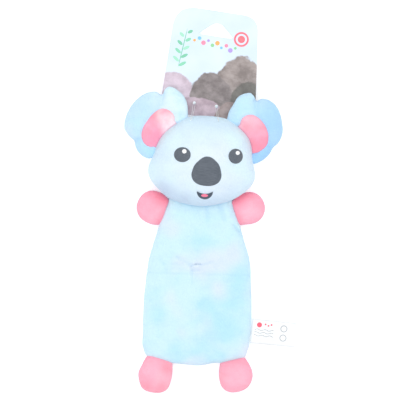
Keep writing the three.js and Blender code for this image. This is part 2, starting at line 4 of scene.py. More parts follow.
import bmesh
import bpy
import numpy as np
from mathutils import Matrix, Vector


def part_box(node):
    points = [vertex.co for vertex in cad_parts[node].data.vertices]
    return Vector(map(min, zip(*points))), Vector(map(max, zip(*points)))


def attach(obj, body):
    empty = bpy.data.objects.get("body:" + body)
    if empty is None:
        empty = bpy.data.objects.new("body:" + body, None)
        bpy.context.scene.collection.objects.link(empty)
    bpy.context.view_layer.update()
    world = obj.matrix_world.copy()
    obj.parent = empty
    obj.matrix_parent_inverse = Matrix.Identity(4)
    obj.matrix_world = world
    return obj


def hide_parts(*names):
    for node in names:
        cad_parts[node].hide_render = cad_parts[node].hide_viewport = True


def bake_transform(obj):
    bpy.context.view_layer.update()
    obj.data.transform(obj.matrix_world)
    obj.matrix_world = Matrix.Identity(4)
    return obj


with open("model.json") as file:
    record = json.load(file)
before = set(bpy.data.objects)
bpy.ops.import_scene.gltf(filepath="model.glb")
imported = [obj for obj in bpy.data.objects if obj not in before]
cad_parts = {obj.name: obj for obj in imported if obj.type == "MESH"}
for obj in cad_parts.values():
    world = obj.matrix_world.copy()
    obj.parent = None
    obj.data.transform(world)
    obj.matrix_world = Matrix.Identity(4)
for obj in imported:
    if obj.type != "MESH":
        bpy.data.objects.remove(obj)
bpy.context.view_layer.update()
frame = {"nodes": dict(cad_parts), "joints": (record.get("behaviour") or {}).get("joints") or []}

nodes = frame["nodes"]
joints = {joint["name"]: joint for joint in frame["joints"]}

# The view: straight down on the toy as it lies on its back, with its axis leaning a little to the
# right. A long lens keeps the raised head and the flat feet at one scale.
view_wide = 0.3468
view_middle = (-0.00034, 0.03295)
view_height = 4.5
view_roll = math.radians(1.5)
lens = bpy.data.cameras.new("view")
lens.lens = lens.sensor_width * view_height / view_wide
camera = bpy.data.objects.new("view", lens)
camera.location = (*view_middle, view_height)
camera.rotation_euler = (0, 0, view_roll)
bpy.context.scene.collection.objects.link(camera)
bpy.context.scene.camera = camera

# The upper pouch: two layers of pale-blue short-pile plush with a thin filling, sewn together at the
# sides. It runs into the underside of the head at the neck and ends at the seam across the tummy.
seam_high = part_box("lower_body_front_panel")[0].z
pouch_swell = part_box("lower_body_front_panel")[1].z - seam_high
neck_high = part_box("upper_body_back_panel")[1].z
neck_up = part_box("upper_body_front_panel")[1].y
waist_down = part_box("upper_body_front_panel")[0].y
armpit_up = joints["arm_left_flop"]["pos_m"][1]
neck_tuck = 0.0045        # how far the neck runs on inside the head
side_round = 0.013        # how far in from a side seam the pouch reaches its full thickness
seam_ease = 0.0009        # what a skin loses at its seams when it is knit
rim_high = 0.0016         # how far above and below a seam the painted grey shade of the rim mark reaches
waist_lap = 0.0030        # how far each pouch runs on under the seam across the tummy
waist_dip = 0.0003        # how deep the seam across the tummy draws the skins in
waist_spread = 0.0030     # and over what width
seam_close = 0.0006       # how near a point lies to a straight stretch of seam that it belongs to
neck_thin_front, neck_thin_back = 0.5, 0.55    # how much thinner the pouch is at the neck
skin_fine = 0.0018        # the size of the even quads that a pouch's skin is knit from
fill_push = 1.5           # how hard the filling pushes on the skin
fill_reach = 0.0012       # how far it may push it
fill_frames = 20          # in how many steps
hold_high = 0.0012        # how far above and below its seam a skin is held meanwhile
stitch_high = 0.0009      # how far above and below the seam its stitches draw a skin in
stitch_deep = 0.0006      # and how deep
chin_line = 0.0013        # how wide the painted shadow line along the head's edge is
chin_pale = 0.014         # how far from the head the plush is painted paler, as painted light, and even
to_mm = 1000              # the finishes measure in millimetres


def outline(node, middle=None, rays=300):
    """A node's edge in plan as points in order round its middle, and that middle."""
    data = nodes[node].data
    spots = np.array([v.co[:2] for v in data.vertices])
    low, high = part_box(node)
    middle = np.array((low + high)[:2]) / 2 if middle is None else np.array(middle)
    ends = spots[np.array([edge.vertices[:] for edge in data.edges])] - middle
    start, run = ends[:, 0], ends[:, 1] - ends[:, 0]
    turn = np.linspace(-math.pi, math.pi, rays, endpoint=False)
    ray = np.stack([np.cos(turn), np.sin(turn)], 1)
    cross = ray[:, :1] * run[:, 1] - ray[:, 1:] * run[:, 0]
    cross[np.abs(cross) < 1e-12] = 1e-12
    along = (start[:, 0] * ray[:, 1:] - start[:, 1] * ray[:, :1]) / cross
    reach = (start[:, 0] * run[:, 1] - start[:, 1] * run[:, 0]) / cross
    reach = np.where((along > -1e-6) & (along < 1 + 1e-6), reach, 0).max(1)
    return middle + ray * reach[:, None], middle


def grown(edge, by, where=True):
    """An edge moved out by this much along its own outward side, where where is true."""
    along = np.roll(edge, -1, 0) - np.roll(edge, 1, 0)
    out = np.column_stack([along[:, 1], -along[:, 0]]) / np.linalg.norm(along, axis=1)[:, None]
    return edge + out * by * np.broadcast_to(where, len(edge))[:, None]


def away(spots, edge, sewn=None):
    """How far each spot lies from a closed edge, or from the stretches of it where sewn is true."""
    start, end = edge, np.roll(edge, -1, 0)
    if sewn is not None:
        keep = sewn & np.roll(sewn, -1)
        start, end = start[keep], end[keep]
    run = end - start
    from_start = spots[:, None] - start
    share = np.clip((from_start * run).sum(2) / np.maximum((run**2).sum(1), 1e-16), 0, 1)
    return np.sqrt(((from_start - share[..., None] * run) ** 2).sum(2)).min(1)


def outside(spots, edge, middle):
    """How far each spot lies outside a closed edge in plan, seen from its middle; below 0 inside."""
    off, rim = spots[..., :2] - middle, edge - middle
    turn, rim_turn = np.arctan2(off[..., 1], off[..., 0]), np.arctan2(rim[:, 1], rim[:, 0])
    reach = np.interp(turn, rim_turn, np.hypot(*rim.T), period=2 * math.pi)
    return np.hypot(off[..., 0], off[..., 1]) - reach


def rounded(distance, radius, low=0.0):
    """Climbs from low at the seam to 1 at the radius, on a quarter circle."""
    share = np.clip(distance / radius, 0, 1)
    return low + (1 - low) * np.sqrt(1 - (1 - share) ** 2)


def step(value, start, end):
    """Climbs smoothly from 0 at start to 1 at end."""
    share = np.clip((value - start) / (end - start), 0, 1)
    return share * share * (3 - 2 * share)


def bump(distance, width):
    """1 at no distance, and a soft fall to 0 on either side."""
    return np.exp(-((distance / width) ** 2))


def pulled(edge, pulls):
    """An edge that was sewn off its pattern: each pull gives a place, a length and a move in plan."""
    for place, wide, by in pulls:
        edge = edge + np.array(by) * bump(np.linalg.norm(edge - place, axis=1), wide)[:, None]
    return edge


def ripple(spots, wave, seed):
    """Slow random unevenness between about -1 and 1, the same on every run."""
    chance = np.random.default_rng(seed)
    total = np.zeros(len(spots))
    for _ in range(9):
        turn, phase, size = chance.uniform(0, 2 * math.pi, 2).tolist() + [chance.uniform(0.7, 1.5)]
        across = spots[:, 0] * math.cos(turn) + spots[:, 1] * math.sin(turn)
        total += np.cos(across * 2 * math.pi / (wave * size) + phase)
    return total / 4


def placed(name, data):
    """A piece of this mesh, curve or light, set into the scene."""
    piece = bpy.data.objects.new(name, data)
    bpy.context.scene.collection.objects.link(piece)
    return piece


def cover(name, edge, middle, top, bottom, rings=26):
    """A closed skin over a plan edge, between the heights that top and bottom give."""
    shares = np.sin(np.linspace(0, math.pi / 2, rings + 1))[1:]
    count = len(edge)
    spots = np.concatenate([[middle], *[middle + (edge - middle) * share for share in shares]])
    level = np.repeat(np.concatenate([[0], shares]), [1] + [count] * rings)
    upper, lower = top(spots, level), bottom(spots, level)
    lower = np.minimum(lower, upper)
    points = np.concatenate([np.column_stack([spots, upper]), np.column_stack([spots, lower])])
    under = len(spots)
    faces = []
    for i in range(count):
        j = (i + 1) % count
        faces += [(0, 1 + i, 1 + j), (under, under + 1 + j, under + 1 + i)]
        for ring in range(rings - 1):
            a, b = 1 + ring * count, 1 + (ring + 1) * count
            faces += [(a + i, b + i, b + j, a + j)]
            faces += [(under + a + i, under + a + j, under + b + j, under + b + i)]
        rim = 1 + (rings - 1) * count
        faces += [(rim + i, under + rim + i, under + rim + j, rim + j)]
    data = bpy.data.meshes.new(name)
    data.from_pydata(points.tolist(), [], faces)
    return placed(name, data)


def places(piece):
    """Where a piece's points lie, one row for each."""
    spots = np.empty(len(piece.data.vertices) * 3)
    piece.data.vertices.foreach_get("co", spots)
    return spots.reshape(-1, 3)


def move(piece, spots):
    """Puts a piece's points in new places."""
    piece.data.vertices.foreach_set("co", spots.ravel())
    piece.data.update()


def settle(piece):
    """Makes what the modifiers show the piece's own mesh."""
    graph = bpy.context.evaluated_depsgraph_get()
    data = bpy.data.meshes.new_from_object(piece.evaluated_get(graph))
    piece.modifiers.clear()
    piece.data = data


def facings(piece):
    """Which way the skin faces at each of a piece's points."""
    normals = np.empty(len(piece.data.vertices) * 3)
    piece.data.vertices.foreach_get("normal", normals)
    return normals.reshape(-1, 3)


def knit(piece, voxel, rounds=5):
    """Rebuilds a skin from even quads and smooths it."""
    remesh = piece.modifiers.new("even", "REMESH")
    remesh.mode = "VOXEL"
    remesh.voxel_size = voxel
    smooth = piece.modifiers.new("smooth", "SMOOTH")
    smooth.factor, smooth.iterations = 0.5, rounds
    settle(piece)


def stuff(piece, seam_at, pressure, reach):
    """Blows a cover up from inside as its filling does, held at its seam; no point moves past reach."""
    before = places(piece)
    held = bump(before[:, 2] - seam_at(before), hold_high)
    group = piece.vertex_groups.new(name="seam")
    for i in np.nonzero(held > 0.4)[0]:
        group.add([int(i)], 1, "REPLACE")
    cloth = piece.modifiers.new("stuffing", "CLOTH")
    cloth.settings.use_pressure = True
    cloth.settings.uniform_pressure_force = pressure
    cloth.settings.effector_weights.gravity = 0
    cloth.settings.vertex_group_mass = "seam"
    for number in range(1, fill_frames + 1):
        bpy.context.scene.frame_set(number)
    settle(piece)
    bpy.context.scene.frame_set(1)
    moved = places(piece) - before
    length = np.linalg.norm(moved, axis=1, keepdims=True)
    move(piece, before + moved * np.minimum(1, reach / np.maximum(length, 1e-9)))


def refine(piece):
    """Splits a skin's quads once and rounds them off."""
    more = piece.modifiers.new("finer", "SUBSURF")
    more.levels = more.render_levels = 1
    settle(piece)


def press(piece, relief):
    """Moves a skin's points up or down by its relief, front and back apart, but not into the table."""
    spots = places(piece)
    spots[:, 2] += relief(spots, facings(piece)[:, 2])
    spots[:, 2] = np.maximum(spots[:, 2], 0)
    move(piece, spots)


def sew(piece, seam_at):
    """Draws a skin in along the seam round its edge, and gives how near the seam each point lies."""
    spots, normals = places(piece), facings(piece)
    near = bump(spots[:, 2] - seam_at(spots), stitch_high) * step(-np.abs(normals[:, 2]), -0.97, -0.8)
    move(piece, spots - normals * (stitch_deep * near)[:, None])
    return near


def wear(piece, finish, slot, **marks):
    """Gives a piece its finish, with each point's resting place in millimetres and other marks for it."""
    for face in piece.data.polygons:
        face.use_smooth = True
    rest = piece.data.attributes.new("rest", "FLOAT_VECTOR", "POINT")
    rest.data.foreach_set("vector", (places(piece) * to_mm).ravel())
    for name, values in marks.items():
        mark = piece.data.attributes.new(name, "FLOAT", "POINT")
        mark.data.foreach_set("value", np.clip(values, 0, 1))
    piece.data.materials.clear()
    piece.data.materials.append(finish)


class Tone:
    """A value over a surface; sums, differences and products of tones add Math nodes."""

    def __init__(self, socket):
        self.socket = socket

    def node(self, kind, settings, inputs, output=None):
        """One more node: its settings first, then the values or links of its sockets."""
        made = self.socket.id_data.nodes.new("ShaderNode" + kind)
        for name, value in settings.items():
            setattr(made, name, value)
        for name, value in inputs.items():
            feed(made, name, value)
        shown = [s for s in made.outputs if s.enabled and output in (None, s.name)]
        return Tone(shown[0])

    def maths(self, operation, *others):
        return self.node("Math", {"operation": operation}, dict(enumerate([self, *others])))

    def __add__(self, other):
        return self.maths("ADD", other)

    def __sub__(self, other):
        return self.maths("SUBTRACT", other)

    def __rsub__(self, other):
        return (self * -1) + other

    def __mul__(self, other):
        return self.maths("MULTIPLY", other)

    __radd__, __rmul__ = __add__, __mul__

    def between(self, low, high):
        """Climbs smoothly from 0 at low to 1 at high."""
        inputs = {"Value": self, "From Min": low, "From Max": high}
        return self.node("MapRange", {"interpolation_type": "SMOOTHSTEP"}, inputs)

    def mark(self, name):
        """The value that wear stored at each point under this name, or 0."""
        return self.node("Attribute", {"attribute_name": name}, {}, "Fac")

    def tint(self, none, full):
        """The colour none where this is 0 and full where it is 1."""
        return self.node("Mix", {"data_type": "RGBA"}, {"Factor": self, "A": none, "B": full})

    def noise(self, wave, detail=2, rough=0.5, stretch=(1, 1, 1)):
        """Cloudy noise of this wavelength over a place, drawn out along its axes by stretch."""
        inputs = {0: self, 1: tuple(1 / (wave * s) for s in stretch)}
        place = self.node("VectorMath", {"operation": "MULTIPLY"}, inputs)
        inputs = {"Vector": place, "Scale": 1, "Detail": detail, "Roughness": rough}
        return self.node("TexNoise", {}, inputs)

    def relief(self, height, normal=None):
        """A normal for bumps of this height in metres."""
        inputs = {"Height": self, "Distance": height, "Strength": 1}
        return self.node("Bump", {}, inputs if normal is None else {**inputs, "Normal": normal})


def feed(node, name, value):
    """Sets or links one input of a node, by its name or its number."""
    socket = node.inputs[name] if isinstance(name, int) else None
    socket = socket or next(s for s in node.inputs if s.enabled and s.name == name)
    if isinstance(value, Tone):
        node.id_data.links.new(value.socket, socket)
    elif isinstance(value, tuple) and len(value) == 3 and socket.type == "RGBA":
        socket.default_value = (*value, 1)
    else:
        socket.default_value = value


def colour(red, green, blue):
    """A colour as the eye reads it, from 0 to 255, in the light units that a shader takes."""
    return tuple(((c / 255 + 0.055) / 1.055) ** 2.4 for c in (red, green, blue))


def finish_of(name, **fixed):
    """A material with these fixed values, its shader, and the resting place over its surface."""
    made = bpy.data.materials.new(name)
    made.use_nodes = True
    shader = made.node_tree.nodes["Principled BSDF"]
    for socket, value in fixed.items():
        feed(shader, socket.replace("_", " "), value)
    place = Tone(shader.outputs[0]).node("Attribute", {"attribute_name": "rest"}, {}, "Vector")
    return made, shader, place


def plush(name, deep, pale, cool, warm, shaded, seam, patch, seed=0.0):
    """Short-pile plush: from deep to pale by its tone mark, which on some pieces is painted light and shade,
    clouded with a cool and a warm dye, the more so by its cool and warm marks (painted light at the head's
    temples, part of the painted shade on a pink panel), brushed in patches, deeper by its painted-shade mark,
    greyer by its rim mark (painted shade at seams and edges), even by its plain mark, and with a fine nap."""
    made, shader, place = finish_of(
        name, Sheen_Weight=0.3, Sheen_Roughness=0.5, Specular_IOR_Level=0.12,
    )
    place = place.node("VectorMath", {"operation": "ADD"}, {0: place, 1: (seed, seed * 2, 0)})
    dye = place.mark("tone").tint(deep, pale)
    cloudy = 1 - place.mark("plain")
    cool_clouds = place.noise(patch, 3, 0.55) + place.mark("cool") * 0.26
    dye = (cool_clouds.between(0.40, 0.84) * 0.9 * cloudy).tint(dye, cool)
    warm_clouds = place.noise(patch * 1.3, 2, 0.5, (1, 1, 3)) + place.mark("warm") * 0.26
    dye = (warm_clouds.between(0.46, 0.90) * 0.8 * cloudy).tint(dye, warm)
    brushed = place.noise(patch * 0.3, 3, 0.6, (1.8, 1, 1)).between(0.4, 0.75)
    nap = place.noise(0.8, 3, 0.7)
    tufts = place.noise(2.4, 2, 0.6, (1, 1.5, 1))
    # The painted-shade mark darkens the plush towards its shaded colour: painted shade at seams, roots, folds
    # and under the head.
    painted_shade_and_pile = place.mark("shade") * 0.85 + brushed * 0.1 + nap.between(0.42, 0.75) * 0.09
    feed(shader, "Base Color", (place.mark("rim") * 0.8).tint(painted_shade_and_pile.tint(dye, shaded), seam))
    feed(shader, "Roughness", 0.82 + 0.14 * nap)
    feed(shader, "Normal", nap.relief(0.00045, tufts.relief(0.0007)))
    return made


body_plush = plush(
    "pale_blue_plush", colour(205, 238, 250), colour(214, 242, 252), colour(186, 232, 252),
    colour(226, 234, 250), colour(160, 202, 240), colour(186, 202, 232), 30,
)
# Where a pouch was sewn off its pattern: the place on its edge, how long the stretch is, and how far in
# plan it was pulled.
pouch_pulls = [
    ((0.0435, -0.0150), 0.019, (0.0019, 0)), ((-0.0430, -0.0120), 0.020, (-0.0009, 0)),
    ((-0.0450, -0.0955), 0.010, (-0.0019, -0.0005)), ((-0.0312, -0.1070), 0.012, (-0.0002, -0.0014)),
    ((0.0160, -0.1095), 0.0062, (0, 0.0014)),
]
upper_edge, upper_middle = outline("upper_body_back_panel", (0, 0))
at_neck = upper_edge[:, 1] > neck_up - seam_close
at_waist = upper_edge[:, 1] < waist_down + seam_close
upper_sewn = ~at_neck & ~at_waist
upper_edge = pulled(grown(upper_edge, seam_ease, upper_sewn), pouch_pulls)
upper_edge[at_neck, 1] += neck_tuck
upper_edge[at_waist, 1] -= waist_lap


def pouch_seam(spots):
    """The height of a pouch's side seams, which climb from the armpits to the neck."""
    climb = np.clip((spots[:, 1] - armpit_up) / (neck_up - armpit_up), 0, 1.2)
    return seam_high + (neck_high - seam_high) * climb


def upper_top(spots, _):
    full = rounded(away(spots, upper_edge, upper_sewn), side_round)
    thin = 1 - neck_thin_front * step(spots[:, 1], armpit_up, neck_up)
    return pouch_seam(spots) + pouch_swell * full * thin


def upper_bottom(spots, _):
    full = rounded(away(spots, upper_edge, upper_sewn), side_round)
    thin = 1 - neck_thin_back * step(spots[:, 1], armpit_up, neck_up)
    return np.maximum(pouch_seam(spots) * (1 - full * thin), 0)


# Folds that run down from the neck seam, the crease at one armpit and the stitched pucker on the
# tummy: where each starts and ends, how wide it is and how deep.
folds = [
    ((0.0052, 0.0300), (0.0070, 0.0160), 0.0020, 0.0006),
    ((0.0165, 0.0290), (0.0212, 0.0170), 0.0026, 0.0008),
    ((0.0300, 0.0120), (0.0345, 0.0065), 0.0013, 0.0010),
    ((-0.0062, -0.0242), (-0.0026, -0.0226), 0.0006, 0.0011),
    ((-0.0026, -0.0226), (0.0020, -0.0226), 0.0006, 0.0011),
    ((-0.0052, -0.0256), (0.0002, -0.0252), 0.0015, -0.0009),
    ((-0.0060, -0.0288), (0.0000, -0.0284), 0.0010, 0.0003),
    ((-0.0057, -0.0240), (-0.0053, -0.0390), 0.0008, 0.0005),
    ((-0.0190, -0.0172), (-0.0070, -0.0226), 0.0014, 0.0007),
    ((-0.0300, -0.0225), (-0.0080, -0.0238), 0.0013, 0.0004),
    ((0.0020, -0.0228), (0.0130, -0.0205), 0.0014, 0.0004),
    ((-0.0280, -0.0290), (-0.0330, -0.0200), 0.0016, 0.0005),
]


def creased(spots):
    """How deep the folds lie at each spot; below 0 on the rolls beside them."""
    total = np.zeros(len(spots))
    for start, end, width, depth in folds:
        start, run = np.array(start), np.array(end) - np.array(start)
        share = ((spots[:, :2] - start) @ run) / (run @ run)
        off = np.linalg.norm(spots[:, :2] - start - np.clip(share, 0, 1)[:, None] * run, axis=1)
        total += depth * (bump(off, width) - 0.45 * bump(off - 2 * width, width))
    return total


def body_relief(spots, facing):
    """How uneven a pouch's skins are, with the folds in the front one only."""
    uneven = 0.0004 * ripple(spots, 0.034, 3) + 0.00022 * ripple(spots, 0.013, 4)
    waist = waist_dip * bump(spots[:, 1] - waist_down, waist_spread)
    return (uneven - creased(spots) * (facing > 0) - waist) * facing


# Where the pile is brushed the cool way (deeper cyan) and the warm way (lavender): the middle of each
# patch and how wide it is.
cool_patches = [
    ((0.001, -0.006), 0.009), ((0.033, -0.052), 0.010), ((0.019, -0.075), 0.013), ((-0.034, -0.067), 0.009),
    ((-0.019, -0.098), 0.008), ((0.0225, -0.1015), 0.0045), ((0.036, -0.030), 0.007),
    ((0.006, -0.060), 0.009),
]
warm_patches = [
    ((-0.020, -0.022), 0.009), ((-0.003, -0.026), 0.009), ((0.016, -0.020), 0.011), ((0.031, -0.012), 0.008),
    ((-0.022, -0.052), 0.008), ((-0.024, 0.006), 0.010), ((0.046, -0.095), 0.007), ((0.005, -0.107), 0.010),
    ((-0.017, -0.064), 0.008), ((-0.015, -0.082), 0.008), ((-0.006, -0.112), 0.009), ((0.017, -0.043), 0.007),
]


def brushed_at(spots, patches):
    """How much of these patches each spot lies in."""
    return sum(bump(np.linalg.norm(spots[:, :2] - place, axis=1), wide) for place, wide in patches)


# The rim mark built from this paints grey shade along each piece's seam, where the skin turns away from the
# light.
def rim(spots, seam_at):
    """How near each spot lies in height to the seam round its piece."""
    return bump(spots[:, 2] - seam_at(spots), rim_high)


def dress_pouch(piece):
    """Knits, fills and sews a pouch and gives it its plush."""
    knit(piece, skin_fine)
    stuff(piece, pouch_seam, fill_push, fill_reach)
    refine(piece)
    press(piece, body_relief)
    near = sew(piece, pouch_seam)
    spots = places(piece)
    in_front = spots[:, 2] > seam_high
    # Near the head the plush is painted paler, as painted light, and without clouds.
    under_chin = bump(head_gap(spots), chin_pale) * in_front
    # Painted shade: a shadow line under the head's edge, shade in the folds, along the side seams and along
    # the seam across the tummy; the rim mark paints grey shade at the side seams.
    painted_chin_shade = bump(head_gap(spots), chin_line) * in_front
    painted_fold_shade = np.clip(creased(spots) / 0.0008, 0, 1) * in_front
    waist = 0.14 * bump(spots[:, 1] - waist_down, 0.0008)
    wear(
        piece, body_plush, "blue_plush", shade=0.15 * near + 0.6 * painted_chin_shade + 0.25 * painted_fold_shade + waist,
        tone=0.5 + 0.5 * under_chin, plain=0.9 * under_chin, rim=0.6 * rim(spots, pouch_seam),
        cool=brushed_at(spots, cool_patches) * in_front, warm=brushed_at(spots, warm_patches) * in_front,
    )


def head_gap(spots):
    """How far each spot lies outside the head's edge in plan; below 0 under the head."""
    return outside(spots, head_edge, head_middle)


# The head's edge as it was cut and as it was sewn, with its own pulls. The plush below the chin takes
# its shade from it, so it is needed here already.
head_pulls = [
    ((-0.0300, 0.0955), 0.013, (0.0010, -0.0017)), ((0.0020, 0.1150), 0.020, (0, -0.0008)),
    ((0.0350, 0.0945), 0.011, (-0.0005, -0.0009)), ((0.0240, 0.0320), 0.014, (-0.0003, 0.0013)),
]
head_middle = np.array([0.0008, 0.067])
head_cut, _ = outline("head_back_panel", head_middle, 360)
head_edge = pulled(head_cut, head_pulls)
upper = cover("upper_body_cover", upper_edge, upper_middle, upper_top, upper_bottom)
dress_pouch(upper)
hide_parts("upper_body_front_panel", "upper_body_back_panel", "upper_body_fill")
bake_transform(upper)

# The lower pouch: the same plush and thin filling, sewn to the upper pouch at the seam across the
# tummy. Its bottom corners hold the feet, and its right side seam holds the care label.
lower_edge, lower_middle = outline("lower_body_back_panel")
lower_sewn = lower_edge[:, 1] < waist_down - 0.001
lower_edge = pulled(grown(lower_edge, seam_ease, lower_sewn), pouch_pulls)
lower_edge[~lower_sewn, 1] = waist_down + waist_lap


def lower_top(spots, _):
    return seam_high + pouch_swell * rounded(away(spots, lower_edge, lower_sewn), side_round)


def lower_bottom(spots, _):
    return seam_high * (1 - rounded(away(spots, lower_edge, lower_sewn), side_round))


lower = cover("lower_body_cover", lower_edge, lower_middle, lower_top, lower_bottom)
dress_pouch(lower)
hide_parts("lower_body_front_panel", "lower_body_back_panel", "lower_body_fill")
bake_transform(lower)

# Arms and feet: pink plush drops, stuffed round and sewn into the pouches' side seams by a flat
# root. Each carries a little painted shade along its root seam.
limb_tuck = 0.0012        # how far a limb runs on inside the seam that holds it
limb_round = 0.0105       # how far in from its edge a limb reaches its full thickness
root_round = 0.0065       # how far out from its root
root_close = 0.0008       # how near its hinge a point lies that belongs to its root
root_level = 0.025        # how far out from its root a limb's seam lies level again
root_shaded = {"arm": 0.5, "foot": 0.15}    # how deep the painted shade is at the root
root_shade_wide = 0.0045  # and how wide
limb_swell = {"arm": 0.0062, "foot": 0.0072}    # how far a limb stands out from its seam
limb_fine, limb_push, limb_reach = 0.0011, 2.0, 0.0010    # its quads and its filling
limb_plush = plush(
    "pink_plush", colour(250, 164, 188), colour(253, 184, 205), colour(254, 196, 212), colour(250, 160, 180),
    colour(254, 124, 146), colour(206, 150, 178), 18, 31.0,
)
# How far in plan a limb's tip was sewn off its pattern, and where its edge was, as for the pouches.
tip_moves = {
    "arm_left": (0.0006, -0.0007), "arm_right": (0.0005, 0.0008),
    "foot_left": (0, 0), "foot_right": (-0.0011, 0.0021),
}
limb_pulls = {
    "arm_left": [((-0.0355, 0.0115), 0.008, (0, -0.0013))],
    "arm_right": [((0.0420, 0.0120), 0.007, (0, 0.0010))],
    "foot_left": [
        ((-0.0446, -0.1300), 0.007, (-0.0011, -0.0009)), ((-0.0262, -0.1290), 0.006, (0.0011, -0.0008)),
        ((-0.0462, -0.1115), 0.005, (0.0009, 0)),
    ],
    "foot_right": [
        ((0.0456, -0.1262), 0.007, (0.0008, -0.0004)), ((0.0240, -0.1274), 0.006, (-0.0007, -0.0004)),
    ],
}
# How far from the chin the head's shadow is painted on a limb, and where the left foot is darker in patches.
chin_reach = {"arm_left": 0.0108, "arm_right": 0.0085, "foot_left": 0.0085, "foot_right": 0.0085}
toe_patches = [((-0.0425, -0.1290), 0.0060), ((-0.0295, -0.1300), 0.0060), ((-0.0255, -0.1145), 0.0055)]
for limb, chin_wide in chin_reach.items():
    kind = limb.split("_")[0]
    hinge = joints[limb + "_flop"]
    pivot, axis = np.array(hinge["pos_m"]), np.array(hinge["axis"])
    slope = axis[2] / np.hypot(axis[0], axis[1])
    along = axis[:2] / np.hypot(axis[0], axis[1])
    edge, middle = outline(limb + "_back_panel", rays=200)
    out = np.array([along[1], -along[0]])
    out *= np.sign((middle - pivot[:2]) @ out)
    reach = (edge - pivot[:2]) @ out
    at_root = reach < root_close
    edge = grown(edge, seam_ease / 2, ~at_root)
    edge = edge + np.array(tip_moves[limb]) * np.clip(reach / reach.max(), 0, 1)[:, None]
    edge = pulled(edge, limb_pulls[limb])
    edge[at_root] -= out * limb_tuck

    def limb_seam(spots):
        reach = (spots[:, :2] - pivot[:2]) @ out
        fade = np.clip(1 - reach / root_level, 0, 1) ** 2
        return pivot[2] + slope * ((spots[:, :2] - pivot[:2]) @ along) * fade

    def limb_full(spots):
        free = rounded(away(spots, edge, ~at_root), limb_round)
        root = rounded((spots - pivot[:2]) @ out + limb_tuck, root_round, 0.28)
        return free * root

    def limb_top(spots, _):
        return limb_seam(spots) + limb_swell[kind] * limb_full(spots)

    def limb_bottom(spots, _):
        return np.maximum(limb_seam(spots) * (1 - limb_full(spots)), 0)

    def limb_relief(spots, facing):
        return 0.00025 * ripple(spots, 0.012, 11) * facing

    piece = cover(limb + "_cover", edge, middle, limb_top, limb_bottom, 18)
    knit(piece, limb_fine)
    stuff(piece, limb_seam, limb_push, limb_reach)
    refine(piece)
    press(piece, limb_relief)
    near = sew(piece, limb_seam)
    spots = places(piece)
    # Painted shade along the seam and at the root, and the head's shadow painted on the limb near the chin;
    # the toe patches make the left foot darker.
    root_shade = root_shaded[kind] * bump((spots[:, :2] - pivot[:2]) @ out, root_shade_wide)
    chin_shade = bump(np.maximum(head_gap(spots), 0), chin_wide)
    toe_shade = 0.4 * brushed_at(spots, toe_patches)
    # The tone is paler the higher the plush stands, as painted light from above; the rim mark paints grey
    # shade at the seam.
    wear(
        piece, limb_plush, "pink_plush",
        shade=0.25 * near + np.maximum(root_shade, chin_shade) + toe_shade,
        tone=(spots[:, 2] - seam_high) / limb_swell[kind], rim=rim(spots, limb_seam),
    )
    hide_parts(limb + "_front_panel", limb + "_back_panel", limb + "_fill")
    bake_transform(piece)

# The head: a face panel and a back panel of the palest blue plush, stuffed into a ball that is widest
# at the cheeks. The tag pins pull two dimples into the crown, and the eyes and nose are drawn in.
head_tilt = math.radians(-2.5)
head_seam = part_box("head_front_panel")[0].z
head_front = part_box("head_front_panel")[1].z - head_seam
head_fine, head_push, head_reach = 0.0016, 1.0, 0.0008    # its quads and its filling
pin_dimples = [(-0.0122, 0.0330), (0.0114, 0.0341)]
dimple_wide, dimple_deep = 0.0036, 0.0019
eye_boxes = [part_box(f"eye_{side}") for side in ("left", "right")]
eye_places = [np.array((low + high)[:2]) / 2 for low, high in eye_boxes]
eye_wide, eye_deep = 0.010, 0.0006
muzzle_place, muzzle_wide, muzzle_out = (0.0045, -0.016), 0.019, 0.0010
# The middle of the palest part of the face (partly painted light), and how far it reaches across, up and
# down.
face_place, face_wide, brow_tall, jaw_tall = (0.004, -0.004), 0.042, 0.030, 0.026
# Where painted light makes the temples paler, and where grey shade is painted at the jowl.
temple_painted_light = [((-0.026, 0.088), 0.010), ((0.031, 0.089), 0.009)]
jowl_painted_shade = [((-0.0335, 0.0425), 0.006), ((-0.0260, 0.0380), 0.008), ((-0.0130, 0.0340), 0.006)]


def turned_by(angle, x, y):
    """Two coordinates of a place, turned by this angle."""
    c, s = math.cos(angle), math.sin(angle)
    return np.array([x * c - y * s, x * s + y * c])


def on_head(x, y):
    """A place given across and up the face, from the middle of the head, in the toy's own plan."""
    return head_middle + turned_by(head_tilt, x, y)


def head_share(spots):
    """How far out from the head's middle each spot lies, 1 at its seam."""
    reach = np.linalg.norm(spots[:, :2] - head_middle, axis=1)
    return reach / (reach - head_gap(spots) + seam_ease)


def ball(share):
    """How full the head is, from 1 at its middle to 0 at its seam."""
    return (1 - np.clip(share, 0, 1) ** 2.4) ** 0.6


def head_relief(spots):
    """How uneven the face is: the muzzle stands out, and the pins and the eyes draw it in."""
    total = 0.0003 * ripple(spots, 0.030, 7)
    muzzle = np.linalg.norm(spots[:, :2] - on_head(*muzzle_place), axis=1)
    total = total + muzzle_out * bump(muzzle, muzzle_wide)
    for place in pin_dimples:
        total -= dimple_deep * bump(np.linalg.norm(spots[:, :2] - on_head(*place), axis=1), dimple_wide)
    for place in eye_places:
        total -= eye_deep * bump(np.linalg.norm(spots[:, :2] - place, axis=1), eye_wide)
    return total


def head_top(spots, _=None):
    share = head_share(spots)
    return head_seam + (head_front - muzzle_out) * ball(share) + head_relief(spots) * (1 - share**8)


def head_bottom(spots, _):
    return np.maximum(head_seam * (1 - 1.02 * ball(head_share(spots))), 0)


def head_seam_at(spots):
    return head_seam + 0 * spots[:, 0]


